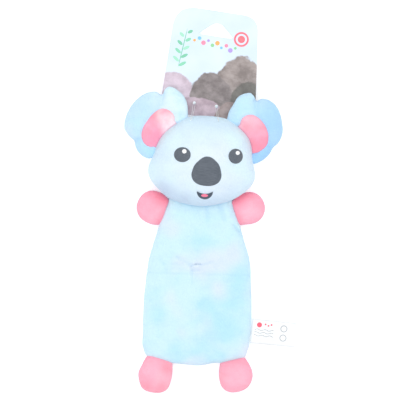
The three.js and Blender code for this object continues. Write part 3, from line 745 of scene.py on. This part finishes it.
head_plush = plush(
    "palest_blue_plush", colour(208, 234, 251), colour(229, 242, 251), colour(222, 247, 254),
    colour(226, 234, 250), colour(170, 196, 234), colour(176, 188, 220), 36, 57.0,
)
head = cover("head_cover", grown(head_edge, seam_ease), head_middle, head_top, head_bottom, 40)
knit(head, head_fine, 6)
stuff(head, head_seam_at, head_push, head_reach)
refine(head)
near = sew(head, head_seam_at)
spots = places(head)
# The face is painted palest round its middle, partly its own tone and partly painted light.
across, up = (spots[:, :2] - on_head(*face_place)).T
face = bump(across, face_wide) * bump(up, np.where(up > 0, brow_tall, jaw_tall))
# Painted shade under the chin and along the seam.
painted_chin_shade = step(-up, 0.020, 0.036) * step(spots[:, 2], head_seam - 0.004, head_seam + 0.004)
in_front = spots[:, 2] > head_seam
wear(
    head, head_plush, "blue_plush", shade=0.3 * near + 0.35 * painted_chin_shade, tone=face,
    rim=0.42 * brushed_at(spots, jowl_painted_shade) * in_front,
    cool=brushed_at(spots, temple_painted_light) * in_front,
)
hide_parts("head_front_panel", "head_back_panel", "head_fill")
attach(head, "head")

# Ears: blue plush front and back, scalloped into three lobes and lightly stuffed, with a pink plush
# panel let into the front. They are sewn into the side of the head's seam.
ear_round = 0.0125        # how far in from its edge an ear reaches its full thickness
ear_tuck = 0.0055         # how far an ear runs on inside the head
ear_front, ear_back = 0.0078, 0.0048    # how far its two sides stand out from its seam
ear_fine, ear_push, ear_reach = 0.0011, 1.2, 0.0006    # its quads and its filling
root_full = 0.45          # how full the ear is where it is sewn in
ear_close, pink_close = 0.0016, 0.0032    # how near the head an edge lies that is sewn in
notch_clear = 0.006       # how far from the head the notches between the lobes lie at least
notch_apart = 0.012       # and how far from each other
pink_sink = 0.0020        # how much deeper the pink panel lies than the blue round it
pink_groove = 0.0008      # and how deep the seam round it is
pink_high, pink_round = 0.0012, 0.004    # how high it domes, and how far in from its seam
pink_thick, pink_fine = 0.0008, 0.0008
valley_deep, valley_wide = 0.0017, 0.0024    # the valleys that run in from the notches
lobe_blend = 0.12         # over how much of a turn one lobe's tone runs into the next
ear_plush = plush(
    "ear_blue_plush", colour(166, 212, 254), colour(228, 248, 253), colour(190, 236, 253),
    colour(216, 230, 253), colour(150, 196, 242), colour(166, 190, 216), 24, 83.0,
)
ear_pink = plush(
    "ear_pink_plush", colour(252, 146, 180), colour(254, 236, 242), colour(254, 196, 222),
    colour(254, 150, 160), colour(246, 116, 152), colour(196, 138, 168), 16, 12.0,
)
# How pale the lobe beside the card, the outer lobe and the lobe by the cheek are painted, as painted light
# and shade, how the pink panel pales from its start to its end, also painted light and shade, and how much
# warm coral deepens the painted shade at that end.
lobe_painted_light = {"left": (0.95, 0.5, 0.34), "right": (0.56, 0.1, 0.0)}
pink_fades = {
    "left": ((-0.0415, 0.0955), (-0.0325, 0.0998), 0.16, 1.0),
    "right": ((0.036, 0.104), (0.054, 0.080), 0.5, 0.1),
}
pink_warmth = {"left": 0, "right": 0.9}
# How far in plan each ear was sewn off its place, and where its lobes were pulled off their pattern.
ear_moves = {"left": np.array([0.0006, -0.0008]), "right": np.array([0.0002, -0.0008])}
lobe_pulls = {
    "left": [((-0.0350, 0.1240), 0.0028, (0.0003, -0.0014))],
    "right": [((0.0240, 0.1185), 0.0075, (0.0021, -0.0010)), ((0.0365, 0.1290), 0.007, (0, -0.0009))],
}


def notches(edge, free):
    """The two sharpest inward corners of an edge, the upper one first, where free is true."""
    ahead, behind = np.roll(edge, -5, 0) - edge, edge - np.roll(edge, 5, 0)
    turning = behind[:, 0] * ahead[:, 1] - behind[:, 1] * ahead[:, 0]
    turning = np.where(free, turning, 1) / np.linalg.norm(ahead, axis=1) / np.linalg.norm(behind, axis=1)
    first = np.argmin(turning)
    near_first = np.linalg.norm(edge - edge[first], axis=1) < notch_apart
    second = np.argmin(np.where(near_first, 1, turning))
    return sorted((edge[first], edge[second]), key=lambda spot: -spot[1])


for side, outward in (("left", -1), ("right", 1)):
    hinge = joints[f"ear_{side}_flop"]
    pivot, axis = np.array(hinge["pos_m"]), np.array(hinge["axis"])
    edge, middle = outline(f"ear_{side}_back_panel", rays=320)
    out = np.array([axis[1], -axis[0]]) / np.hypot(axis[0], axis[1])
    out *= np.sign((middle - pivot[:2]) @ out)
    cut_gap = outside(edge, head_cut, head_middle)
    at_root = cut_gap < ear_close
    middle = middle + ear_moves[side]
    corners = [corner + ear_moves[side] for corner in notches(edge, cut_gap > notch_clear)]
    edge = pulled(grown(edge, seam_ease * 0.8, ~at_root) + ear_moves[side], lobe_pulls[side])
    inward = head_middle - edge[at_root]
    edge[at_root] += inward / np.linalg.norm(inward, axis=1)[:, None] * ear_tuck
    pink_edge, pink_middle = outline(f"ear_{side}_inner_panel", rays=200)
    pink_root = outside(pink_edge, head_cut, head_middle) < pink_close
    pink_edge, pink_middle = pink_edge + ear_moves[side], pink_middle + ear_moves[side]
    inward = head_middle - pink_edge[pink_root]
    pink_edge[pink_root] += inward / np.linalg.norm(inward, axis=1)[:, None] * (ear_tuck + 0.001)

    def in_pink(spots):
        """How far inside the pink panel each spot lies; below 0 outside it."""
        return -outside(spots, pink_edge, pink_middle)

    def ear_full(spots):
        root = root_full + (1 - root_full) * step(head_gap(spots), -0.001, 0.010)
        return rounded(away(spots[:, :2], edge, ~at_root), ear_round) * root

    def valleys(spots):
        """How near each spot lies to a valley that runs from a notch to the pink panel."""
        total = np.zeros(len(spots))
        for corner in corners:
            run = pink_middle - corner
            share = np.clip((spots[:, :2] - corner) @ run / (run @ run), 0, 1)
            total += bump(np.linalg.norm(spots[:, :2] - corner - share[:, None] * run, axis=1), valley_wide)
        return total * step(-in_pink(spots), -0.001, 0.003)

    def ear_top(spots, _=None):
        inside = in_pink(spots)
        sunk = pink_sink * step(inside, -0.003, 0.004) + pink_groove * bump(inside, 0.0012)
        return head_seam + ear_front * ear_full(spots) - sunk - valley_deep * valleys(spots)

    def ear_bottom(spots, _):
        return head_seam - ear_back * ear_full(spots)

    def ear_relief(spots, facing):
        return 0.0003 * ripple(spots, 0.018, 21) * facing

    def turn_round(spots):
        """Which way a spot lies from the pink panel's middle, from the cheek up to the card."""
        off = spots[..., :2] - pink_middle
        return np.arctan2(off[..., 1], outward * off[..., 0])

    piece = cover(f"ear_{side}_cover", edge, middle, ear_top, ear_bottom, 26)
    knit(piece, ear_fine)
    stuff(piece, head_seam_at, ear_push, ear_reach)
    refine(piece)
    press(piece, ear_relief)
    near = sew(piece, head_seam_at)
    spots = places(piece)
    # Painted light and shade: lobes that face the light are painted paler, those that face away deeper, and
    # paler still near the upper notch.
    upper_turn, lower_turn = (turn_round(corner) for corner in corners)
    by_card, outer, by_cheek = lobe_painted_light[side]
    turn = turn_round(spots)
    tone = by_cheek + (outer - by_cheek) * step(turn, lower_turn - lobe_blend, lower_turn + lobe_blend)
    tone += (by_card - outer) * step(turn, upper_turn - lobe_blend, upper_turn + lobe_blend)
    notch_off = np.linalg.norm(spots[:, :2] - corners[0], axis=1)
    tone += 0.3 * bump(notch_off, 0.011) * (turn < upper_turn)
    # Painted shade where the ear meets the head, in the valleys and along the seam; the rim mark paints grey
    # shade at the seam.
    root_shade = 0.3 * bump(np.maximum(head_gap(spots), 0), 0.0018)
    shade = 0.2 * near + np.maximum(root_shade, 0.18 * valleys(spots))
    wear(
        piece, ear_plush, "blue_plush", shade=shade, tone=tone, rim=0.95 * rim(spots, head_seam_at),
        plain=1 - tone / 0.3,
    )
    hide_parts(*[f"ear_{side}_{part}" for part in ("front_panel", "back_panel", "fill")])

    def pink_top(spots, _):
        return ear_top(spots) + pink_high * rounded(in_pink(spots), pink_round) + 0.0001

    def pink_bottom(spots, _):
        return ear_top(spots) - pink_thick

    panel = cover(f"ear_{side}_pink_panel", pink_edge, pink_middle, pink_top, pink_bottom, 20)
    knit(panel, pink_fine, 2)
    spots = places(panel)
    # Painted light and shade across the pink panel, painted shade in the groove round it, and a painted grey
    # shadow line where it runs in under the head.
    start, end, from_tone, to_tone = pink_fades[side]
    run = np.array(end) - np.array(start)
    along = step((spots[:, :2] - np.array(start)) @ run / (run @ run), 0, 1)
    wear(
        panel, ear_pink, "pink_plush", tone=from_tone + (to_tone - from_tone) * along,
        shade=0.3 * bump(in_pink(spots), 0.0010), rim=0.8 * bump(np.maximum(head_gap(spots), 0), 0.0012),
        warm=pink_warmth[side] * along,
    )
    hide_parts(f"ear_{side}_inner_panel")
    for part in (piece, panel):
        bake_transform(part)

# The face: satin stitch in dark grey thread for the eyes, the nose and the mouth, white for the two
# glints and pink for the tongue, sewn through the face panel so that the edges bed into the pile.


def satin(name, main, deep, turn, seed):
    """Satin stitch: close parallel threads with a soft gloss and a little colour from thread to thread."""
    made, shader, place = finish_of(name, Sheen_Weight=0.12, Sheen_Roughness=0.5, Specular_IOR_Level=0.3)
    inputs = {"Vector": place, "Rotation": (0, 0, turn), "Location": (seed, 0, 0)}
    place = place.node("Mapping", {}, inputs)
    threads = place.noise(0.42, 1, 0.4, (14, 1, 1))
    loose = place.noise(5, 2, 0.5)
    feed(shader, "Base Color", (threads * 0.7 + loose * 0.3).between(0.3, 0.7).tint(deep, main))
    feed(shader, "Roughness", 0.5 + 0.25 * threads)
    feed(shader, "Normal", threads.relief(0.0003))
    return made


dark_thread = satin("dark_grey_satin", colour(102, 109, 119), colour(86, 94, 104), 0.0, 3)
mouth_thread = satin("mouth_satin", colour(80, 90, 106), colour(66, 76, 92), 1.2, 9)
white_thread = satin("white_satin", colour(254, 255, 255), colour(246, 249, 252), 0.6, 5)
tongue_thread = satin("tongue_satin", colour(254, 140, 168), colour(246, 116, 148), 0.3, 7)
# Each patch's thread, slot and height, and how far it is raised on the patch below it.
stitched = {
    "nose": (dark_thread, "dark_thread", 0.0013, 0),
    "eye_left": (dark_thread, "dark_thread", 0.0011, 0),
    "eye_right": (dark_thread, "dark_thread", 0.0011, 0),
    "mouth": (mouth_thread, "dark_thread", 0.0009, 0),
    "eye_left_glint": (white_thread, "white_thread", 0.0007, 0.0009),
    "eye_right_glint": (white_thread, "white_thread", 0.0007, 0.0009),
    "tongue": (tongue_thread, "pink_thread", 0.0008, 0.0006),
}
stitch_bed = 0.0012       # how deep a patch's edge beds into the pile
edge_points = 144         # how many points a patch's edge has
nose_ease = 0.0004        # what the nose's edge loses when it is rounded
nose_pulls = [((0.0138, 0.0632), 0.0048, (0.0010, 0.0002)), ((-0.0050, 0.0632), 0.0045, (-0.0006, 0.0003))]
mouth_dip = 0.0021        # how far the upper lip sags between the corners of the mouth
mouth_low = np.array([0, 0.0006])    # how much lower than its pattern the mouth was stitched
# How large and how far off its place a patch was stitched.
stitched_sizes = {"eye_left_glint": 1.0, "eye_right_glint": 0.93, "tongue": 0.88}
stitched_moves = {
    "eye_left_glint": (-0.0004, 0.0003), "eye_right_glint": (-0.0004, 0.0003), "tongue": (0, -0.0005),
}
bpy.context.view_layer.update()


def face_high(spots):
    """The height of the face panel's own surface over each place."""
    down, above = (0, 0, -1), 0.2
    return np.array([head.ray_cast((float(x), float(y), above), down)[1].z for x, y in spots[:, :2]])


def eased(edge, middle, window):
    """An edge whose straight facets are rounded off over this many points either way."""
    reach = np.linalg.norm(edge - middle, axis=1)
    smooth = sum(np.roll(reach, shift) for shift in range(-window, window + 1)) / (2 * window + 1)
    return middle + (edge - middle) * (smooth / reach)[:, None]


for node, (thread, slot, high, raised) in stitched.items():
    edge, middle = outline(node, rays=edge_points)
    low_corner, high_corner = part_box(node)
    half_wide, half_tall = (high_corner - low_corner).xy / 2
    turns = np.linspace(-math.pi, math.pi, edge_points, endpoint=False)
    drawn = stitched_sizes.get(node, 1)
    half_wide, half_tall = half_wide * drawn, half_tall * drawn
    middle = middle + np.array(stitched_moves.get(node, (0, 0)))
    if node.startswith(("eye", "tongue")):
        edge = middle + np.column_stack([half_wide * np.cos(turns), half_tall * np.sin(turns)])
    elif node == "mouth":
        lip = np.linspace(1, -1, 60)[1:-1]
        upper_lip = np.column_stack([lip * half_wide, half_tall - mouth_dip * (1 - lip**2)])
        turns = np.linspace(-math.pi, 0, 84)
        lower_lip = np.column_stack([half_wide * np.cos(turns), half_tall + 2 * half_tall * np.sin(turns)])
        middle = middle - mouth_low
        edge = middle + np.concatenate([lower_lip, upper_lip])
        middle = middle - np.array([0, 0.3 * half_tall])
    else:
        edge = pulled(grown(eased(edge, middle, 3), nose_ease), nose_pulls)

    def patch_top(spots, share):
        return face_high(spots) + raised + high * (1 - share**6) ** 0.5

    def patch_bottom(spots, _):
        return face_high(spots) + raised - stitch_bed

    patch = cover(node + "_stitching", edge, middle, patch_top, patch_bottom, 14)
    wear(patch, thread, slot)
    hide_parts(node)
    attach(patch, "head")

# The squeaker inside the head: a soft moulded bulb with a reed in its neck. Both stay as the frame
# has them, in milky and in clear plastic.
mouldings = {"squeaker_bulb": ((240, 238, 228), 0.45), "squeaker_reed": ((246, 248, 250), 0.25)}
for node, (tone, rough) in mouldings.items():
    made, shader, place = finish_of(node + "_plastic", Specular_IOR_Level=0.4)
    grain = place.node("TexCoord", {}, {}, "Object").noise(0.004, 2, 0.5)
    feed(shader, "Base Color", grain.between(0.3, 0.7).tint(colour(*tone), colour(*[c - 10 for c in tone])))
    feed(shader, "Roughness", rough + 0.1 * grain)
    nodes[node].data.materials.clear()
    nodes[node].data.materials.append(made)

# The care label: one white satin ribbon, folded once at its outer end and sewn into the side seam of
# the lower pouch. It droops from the seam to the table.
label_root = np.array(joints["label_flap"]["pos_m"])
label_turn = math.radians(-4.5)
label_long, label_wide = 0.038, 0.0215
ribbon_thick = 0.0003
leaf_gap = 0.0005         # half of what the two leaves stand apart
label_drop = 0.00115      # how high the outer end lies
label_curl = 0.0007       # how much higher its long edges lie than its middle
label_bend = 0.010        # over what length from its root it bends
steps_long, steps_wide, steps_fold = 26, 10, 6


def droop(share):
    """The height of the label's middle from its root to its outer end."""
    return label_root[2] + (label_drop - label_root[2]) * step(share, 0.08, 0.86)


satin_made, satin_shader, place = finish_of(
    "white_satin_ribbon", Sheen_Weight=0.25, Sheen_Roughness=0.3, Specular_IOR_Level=0.5,
)


def in_plan(place):
    """A place's two coordinates in plan."""
    along = place.node("SeparateXYZ", {}, {"Vector": place}, "X")
    return along, Tone(along.socket.node.outputs["Y"])


def oval_reach(along, up, x, y, wide, tall, turn):
    """How far out from an oval's middle a place lies, squared, 1 on the oval's edge."""
    c, s = math.cos(turn), math.sin(turn)
    u = ((along - x) * c + (up - y) * s) * (2 / wide)
    v = ((up - y) * c - (along - x) * s) * (2 / tall)
    return u * u + v * v


side_long, side_wide = in_plan(place)


def label_oval(x, y, wide, tall, turn):
    """1 inside an oval of the label's print, x from its root and y across it in millimetres."""
    x, y = (label_root[:2] * to_mm + turned_by(label_turn, x, y)).tolist()
    return oval_reach(side_long, side_wide, x, y, wide, tall, label_turn + turn).between(1.2, 0.8)


weft = place.noise(0.32, 1, 0.4, (1, 10, 1))
warp = place.noise(0.30, 1, 0.4, (10, 1, 1))
weave = weft * 0.6 + warp * 0.4
cloudy = place.noise(9, 2, 0.5)
satin_tone = (weave * 0.6 + cloudy * 0.4).between(0.3, 0.7).tint(
    colour(236, 240, 243), colour(248, 250, 252))
coral, grey = colour(240, 96, 118), colour(176, 182, 188)
printed = [(6.5, 5.8, 4.4, 4.4, 0, coral)]
printed += [(11.8 + 2.6 * i, 6.2 + 0.5 * (-1) ** i, 1.5, 1.5, 0, coral) for i in range(3)]
for wave in range(3):
    for i in range(11):
        x, y = 3.4 + 1.5 * i, 1.6 - 2.5 * wave + 0.45 * math.sin(1.4 * i + wave)
        printed.append((x, y, 1.7, 0.55, 0.6 * math.cos(1.4 * i + wave), grey))
for x, y, wide, tall, turn, ink in printed:
    satin_tone = label_oval(x, y, wide, tall, turn).tint(satin_tone, ink)
for x, y in ((28.0, 4.4), (28.0, -3.6)):
    satin_tone = (label_oval(x, y, 6, 6, 0) - label_oval(x, y, 4.6, 4.6, 0)).tint(satin_tone, grey)
feed(satin_shader, "Base Color", satin_tone)
feed(satin_shader, "Roughness", 0.34 + 0.2 * weave)
feed(satin_shader, "Normal", weave.relief(0.00012))
# The ribbon's path from the upper leaf's root round the fold to the lower leaf's root, and then the
# ribbon's width at each step of it.
profile = []
for i in range(steps_long + 1):
    share = i / steps_long
    profile.append((share * label_long, droop(share) + leaf_gap))
for i in range(1, steps_fold):
    turn = math.pi / 2 - math.pi * i / steps_fold
    profile.append((label_long + leaf_gap * math.cos(turn), label_drop + leaf_gap * math.sin(turn)))
for i in range(steps_long, -1, -1):
    share = i / steps_long
    profile.append((share * label_long, droop(share) - leaf_gap * min(1, 0.35 + share)))
points = []
for x, z in profile:
    for j in range(steps_wide + 1):
        y = (j / steps_wide - 0.5) * label_wide
        curl = label_curl * (2 * j / steps_wide - 1) ** 2 * step(x, 0.004, label_long)
        points.append((*(label_root[:2] + turned_by(label_turn, x, y)), z + curl))
row = steps_wide + 1
faces = [
    (i * row + j, (i + 1) * row + j, (i + 1) * row + j + 1, i * row + j + 1)
    for i in range(len(profile) - 1) for j in range(steps_wide)
]
data = bpy.data.meshes.new("care_label_ribbon")
data.from_pydata([tuple(map(float, p)) for p in points], [], faces)
label = placed("care_label_ribbon", data)
thick = label.modifiers.new("thick", "SOLIDIFY")
thick.thickness, thick.offset = ribbon_thick, 0
settle(label)
wear(label, satin_made, "label_satin")
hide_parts("care_label")
bend_end = label_root[:2] + turned_by(label_turn, label_bend, 0)
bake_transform(label)

# The hang card: glossy pale-blue board with round top corners and a delta hole for a display hook,
# pinned behind the head. Its print is a plain design of leaves, hills, dots and a ring.
card_pivot = np.array(joints["card_swing"]["pos_m"])
card_turn = math.radians(-7.5)
card_left, card_right, card_flare = 0.0385, 0.0335, 0.0115
card_above, card_below = 0.0821, 0.011
card_thick, card_bevel = 0.0006, 0.00008
card_lean = -math.asin((card_pivot[2] - card_thick) / card_above)
corner_left, corner_right = 0.0195, 0.013
hole_wide, hole_tall, hole_up, hole_round = 0.03175, 0.0127, 0.060, 0.0021
pin_apart, pin_hole = 0.0194, 0.0026


def on_card(x, y, z):
    """A place on the card, from the middle between its pin holes, in the toy's own frame."""
    x, y = turned_by(card_turn, x, y)
    y, z = turned_by(card_lean, y, z)
    return np.array([x, y, z]) + card_pivot


def bend(start, corner, end, count=14):
    """A corner rounded by one quadratic arc."""
    start, corner, end = map(np.array, (start, corner, end))
    shares = np.linspace(0, 1, count)[:, None]
    return (start * (1 - shares) ** 2 + corner * 2 * shares * (1 - shares) + end * shares**2).tolist()


def right_edge(y):
    """How far right the card's flared edge lies at this height."""
    return card_right + card_flare * (card_above - y) / (card_above + card_below)


card_edge = [
    [-card_left, -card_below], [right_edge(-card_below), -card_below],
    *bend(
        (right_edge(card_above - corner_right), card_above - corner_right),
        (right_edge(card_above), card_above), (card_right - corner_right, card_above),
    ),
    *bend(
        (-card_left + corner_left, card_above), (-card_left, card_above),
        (-card_left, card_above - corner_left),
    ),
]
half, peak = hole_wide / 2, hole_up + hole_tall
hanger_edge = [
    *bend((half - hole_round, hole_up), (half, hole_up), (half - hole_round, hole_up + hole_round), 6),
    *bend((2 * hole_round, peak - hole_round), (0, peak), (-2 * hole_round, peak - hole_round), 10),
    *bend((-half + hole_round, hole_up + hole_round), (-half, hole_up), (-half + hole_round, hole_up), 6),
]
ring = [(math.cos(t), math.sin(t)) for t in np.linspace(0, 2 * math.pi, 20, endpoint=False)]
pin_edges = [
    [[side * pin_apart / 2 + x * pin_hole / 2, y * pin_hole / 2] for x, y in ring] for side in (-1, 1)
]
board = bpy.data.curves.new("hang_card_board", "CURVE")
board.dimensions, board.fill_mode = "2D", "BOTH"
board.extrude = card_thick / 2 - card_bevel
board.bevel_depth, board.bevel_resolution = card_bevel, 1
for loop in (card_edge, hanger_edge, *pin_edges):
    line = board.splines.new("POLY")
    line.points.add(len(loop) - 1)
    for spot, (x, y) in zip(line.points, loop):
        spot.co = (x, y, 0, 1)
    line.use_cyclic_u = True


def solid(name, curve):
    """A piece of this name whose mesh is the curve's solid form."""
    drawn = placed(name, curve)
    graph = bpy.context.evaluated_depsgraph_get()
    data = bpy.data.meshes.new_from_object(drawn.evaluated_get(graph))
    bpy.data.objects.remove(drawn)
    return placed(name, data)


card = solid("hang_card_board", board)

card_made, card_shader, place = finish_of(
    "printed_card", Specular_IOR_Level=0.5, Coat_Weight=0.25, Coat_Roughness=0.18,
)
across, up = in_plan(place)
fibre = place.noise(0.8, 3, 0.6)
ground = place.noise(30, 2, 0.5).between(0.35, 0.65).tint(colour(210, 228, 246), colour(219, 234, 250))
wobble = place.noise(8, 3, 0.55)


def oval(x, y, wide, tall, turn=0.0, soft=0.12, loose=0.0):
    """1 inside a printed oval and 0 outside it; loose makes its edge wander."""
    reach = oval_reach(across, up, x, y, wide, tall, turn)
    if loose:
        reach = reach + (wobble - 0.5) * loose
    return reach.between(1 + soft, 1 - soft)


def grainy(tone, lift, wave):
    """A printed tone with a soft uneven grain, lighter by lift where the grain is high."""
    grain = place.noise(wave, 5, 0.6, (1.3, 1, 1)).between(0.3, 0.72)
    return grain.tint(colour(*tone), colour(*[min(255, c + lift) for c in tone]))


print_ink = ground
hills = [
    (-30, 2, 40, 44, 0.2, (184, 166, 180), 40), (24, 8, 44, 78, -0.12, (116, 104, 101), 52),
    (6, -2, 40, 62, 0.25, (98, 88, 88), 50), (40, -2, 36, 56, 0.3, (78, 75, 70), 34),
    (-10, -12, 60, 34, 0.1, (156, 134, 146), 44), (24, -10, 30, 32, -0.2, (122, 104, 102), 44),
]
for x, y, wide, tall, turn, tone, lift in hills:
    print_ink = oval(x, y, wide, tall, turn, 0.06, 0.5).tint(print_ink, grainy(tone, lift, 9))
sun, sun_ink = (22, 61), grainy((238, 96, 110), 22, 6)
print_ink = (oval(*sun, 13, 13) - oval(*sun, 9.6, 9.6)).tint(print_ink, sun_ink)
print_ink = oval(*sun, 6.4, 6.4).tint(print_ink, sun_ink)
leaf_tones = [(132, 214, 178), (160, 226, 198), (116, 200, 164)]
print_ink = oval(-27, 46, 0.8, 34, -0.08).tint(print_ink, colour(*leaf_tones[2]))
for i in range(9):
    x, y, out_turn = -28.4 + 0.3 * i, 32 + 3.6 * i, 0.62 * (-1) ** i
    print_ink = oval(x + 3.2 * (-1) ** i, y, 7.2 - 0.3 * i, 2.7, out_turn, 0.08).tint(
        print_ink, colour(*leaf_tones[i % 3]))
dot_tones = [(248, 176, 92), (120, 196, 240), (246, 140, 170), (176, 150, 226), (140, 210, 150)]
for i in range(10):
    x, y = -18 + 4.0 * i, 54 - 0.5 * i + 3.0 * (i % 2)
    size = 2.4 + 0.8 * (i % 3)
    print_ink = oval(x, y, size, size).tint(print_ink, colour(*dot_tones[i % 5]))
feed(card_shader, "Base Color", print_ink)
feed(card_shader, "Roughness", 0.3 + 0.12 * fibre)
feed(card_shader, "Normal", fibre.relief(0.00004))
wear(card, card_made, "printed_card")
move(card, np.array([on_card(*spot) for spot in places(card)]))
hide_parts("hang_card")
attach(card, "card")

# Two tag pins of clear nylon: each a fine double filament from inside the crown, over the top of the
# head and through the card, with a small round stop on the card's face and a bar behind it.
filament_wide, bar_wide, bar_long = 0.00036, 0.0011, 0.009
strand_apart = 0.0012
stop_wide, stop_high = 0.0030, 0.0011
entry_deep = 0.003        # how far inside the crown a filament starts
over_up = 0.0400          # how far up from the head's middle it passes the crown
over_high = 0.0275        # and how high
nylon, nylon_shader, place = finish_of(
    "clear_nylon", Transmission_Weight=0.2, IOR=1.45, Specular_IOR_Level=0.6,
)
haze = place.noise(1.5, 2, 0.5)
feed(nylon_shader, "Base Color", haze.tint(colour(246, 250, 252), colour(255, 255, 255)))
feed(nylon_shader, "Roughness", 0.12 + 0.12 * haze)
milky, milky_shader, place = finish_of("milky_nylon", Specular_IOR_Level=0.6, Subsurface_Weight=0.3)
haze = place.noise(1.5, 2, 0.5)
feed(milky_shader, "Base Color", haze.tint(colour(250, 252, 253), colour(255, 255, 255)))
feed(milky_shader, "Roughness", 0.2 + 0.12 * haze)


def pipe(name, spots, wide):
    """A round rod along a smooth line through spots."""
    made = bpy.data.curves.new(name, "CURVE")
    made.dimensions, made.resolution_u = "3D", 10
    made.bevel_depth, made.bevel_resolution, made.use_fill_caps = wide / 2, 4, True
    line = made.splines.new("BEZIER")
    line.bezier_points.add(len(spots) - 1)
    for knot, spot in zip(line.bezier_points, spots):
        knot.co = tuple(map(float, spot))
        knot.handle_left_type = knot.handle_right_type = "AUTO"
    return solid(name, made)


def joined(name, parts):
    """One piece from several, in place of them."""
    both = bmesh.new()
    for part in parts:
        both.from_mesh(part.data)
        bpy.data.objects.remove(part)
    data = bpy.data.meshes.new(name)
    both.to_mesh(data)
    both.free()
    return placed(name, data)


for side, name, entry in ((-1, "left", pin_dimples[0]), (1, "right", pin_dimples[1])):
    hole = on_card(side * pin_apart / 2, 0, 0)
    behind = on_card(side * pin_apart / 2, 0, -card_thick / 2 - bar_wide)
    entry_plan = on_head(*entry)
    inside = np.append(entry_plan, head_top(entry_plan[None])[0] - entry_deep)
    surface = inside + np.array([0, 0.001, entry_deep])
    over = np.append((entry_plan * 0.5 + hole[:2] * 0.5), over_high)
    over[1] = head_middle[1] + over_up
    run = [inside, surface, over, hole, behind]
    spread = [0.4, 0.5, 1, 1, 0.2]
    strands = [
        pipe(f"strand_{way}", [spot + np.array([way * share * strand_apart / 2, 0, 0])
                               for spot, share in zip(run, spread)], filament_wide)
        for way in (-1, 1)
    ]
    pin = joined(f"tag_pin_{name}_filament", strands)
    reach = np.array([bar_long / 2, 0, 0])
    bar = pipe(f"tag_pin_{name}_bar", [behind - reach, behind, behind + reach], bar_wide)
    stop_edge = np.array([hole[:2] + np.array(spot) * stop_wide / 2 for spot in ring])
    base = on_card(side * pin_apart / 2, 0, card_thick / 2)[2]
    stop = cover(
        f"tag_pin_{name}_stop", stop_edge, hole[:2],
        lambda spots, share: base + stop_high * (1 - share**3) ** 0.5 + 0.0001,
        lambda spots, share: base + 0 * share, 8,
    )
    for part in (pin, bar, stop):
        wear(part, milky if part is stop else nylon, "clear_nylon")
        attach(part, "head")
    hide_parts(f"tag_pin_{name}")

# The table and the light: a plain white table, one large soft light from beyond the head, a weaker one
# from beyond the feet and an even white surround.
table_half = 3
table_gap = 0.0002        # how far below the toy the table lies
lit_place = np.array([0, 0.03, 0])
surround_power = 0.75
lamps = {"beyond": ((0.12, 0.34, 1.6), 1.3, 10.5), "near": ((-0.5, -0.7, 1.6), 1.5, 4.5)}
table = bpy.data.meshes.new("table")
table_corners = [(x * table_half, y * table_half, 0) for x, y in ((-1, -1), (1, -1), (1, 1), (-1, 1))]
table.from_pydata(table_corners, [], [(0, 1, 2, 3)])
floor = placed("table", table)
floor.location.z = -table_gap
paint, _, _ = finish_of(
    "table_white", Base_Color=(0.93, 0.94, 0.95), Roughness=0.9, Emission_Color=(1.0, 1.0, 1.0),
    Emission_Strength=0.3,
)
table.materials.append(paint)
surround = bpy.data.worlds.new("surround")
surround.use_nodes = True
background = surround.node_tree.nodes["Background"]
feed(background, "Color", (1, 1, 1, 1))
feed(background, "Strength", surround_power)
bpy.context.scene.world = surround
for name, (spot, size, power) in lamps.items():
    light = bpy.data.lights.new(name, "AREA")
    light.size, light.energy = size, power
    lamp = placed(name, light)
    lamp.location = spot
    aim = lit_place - np.array(spot)
    lamp.rotation_euler = (math.atan2(np.hypot(aim[0], aim[1]), -aim[2]), 0, math.atan2(-aim[0], aim[1]))
bpy.context.scene.view_settings.view_transform = "Standard"
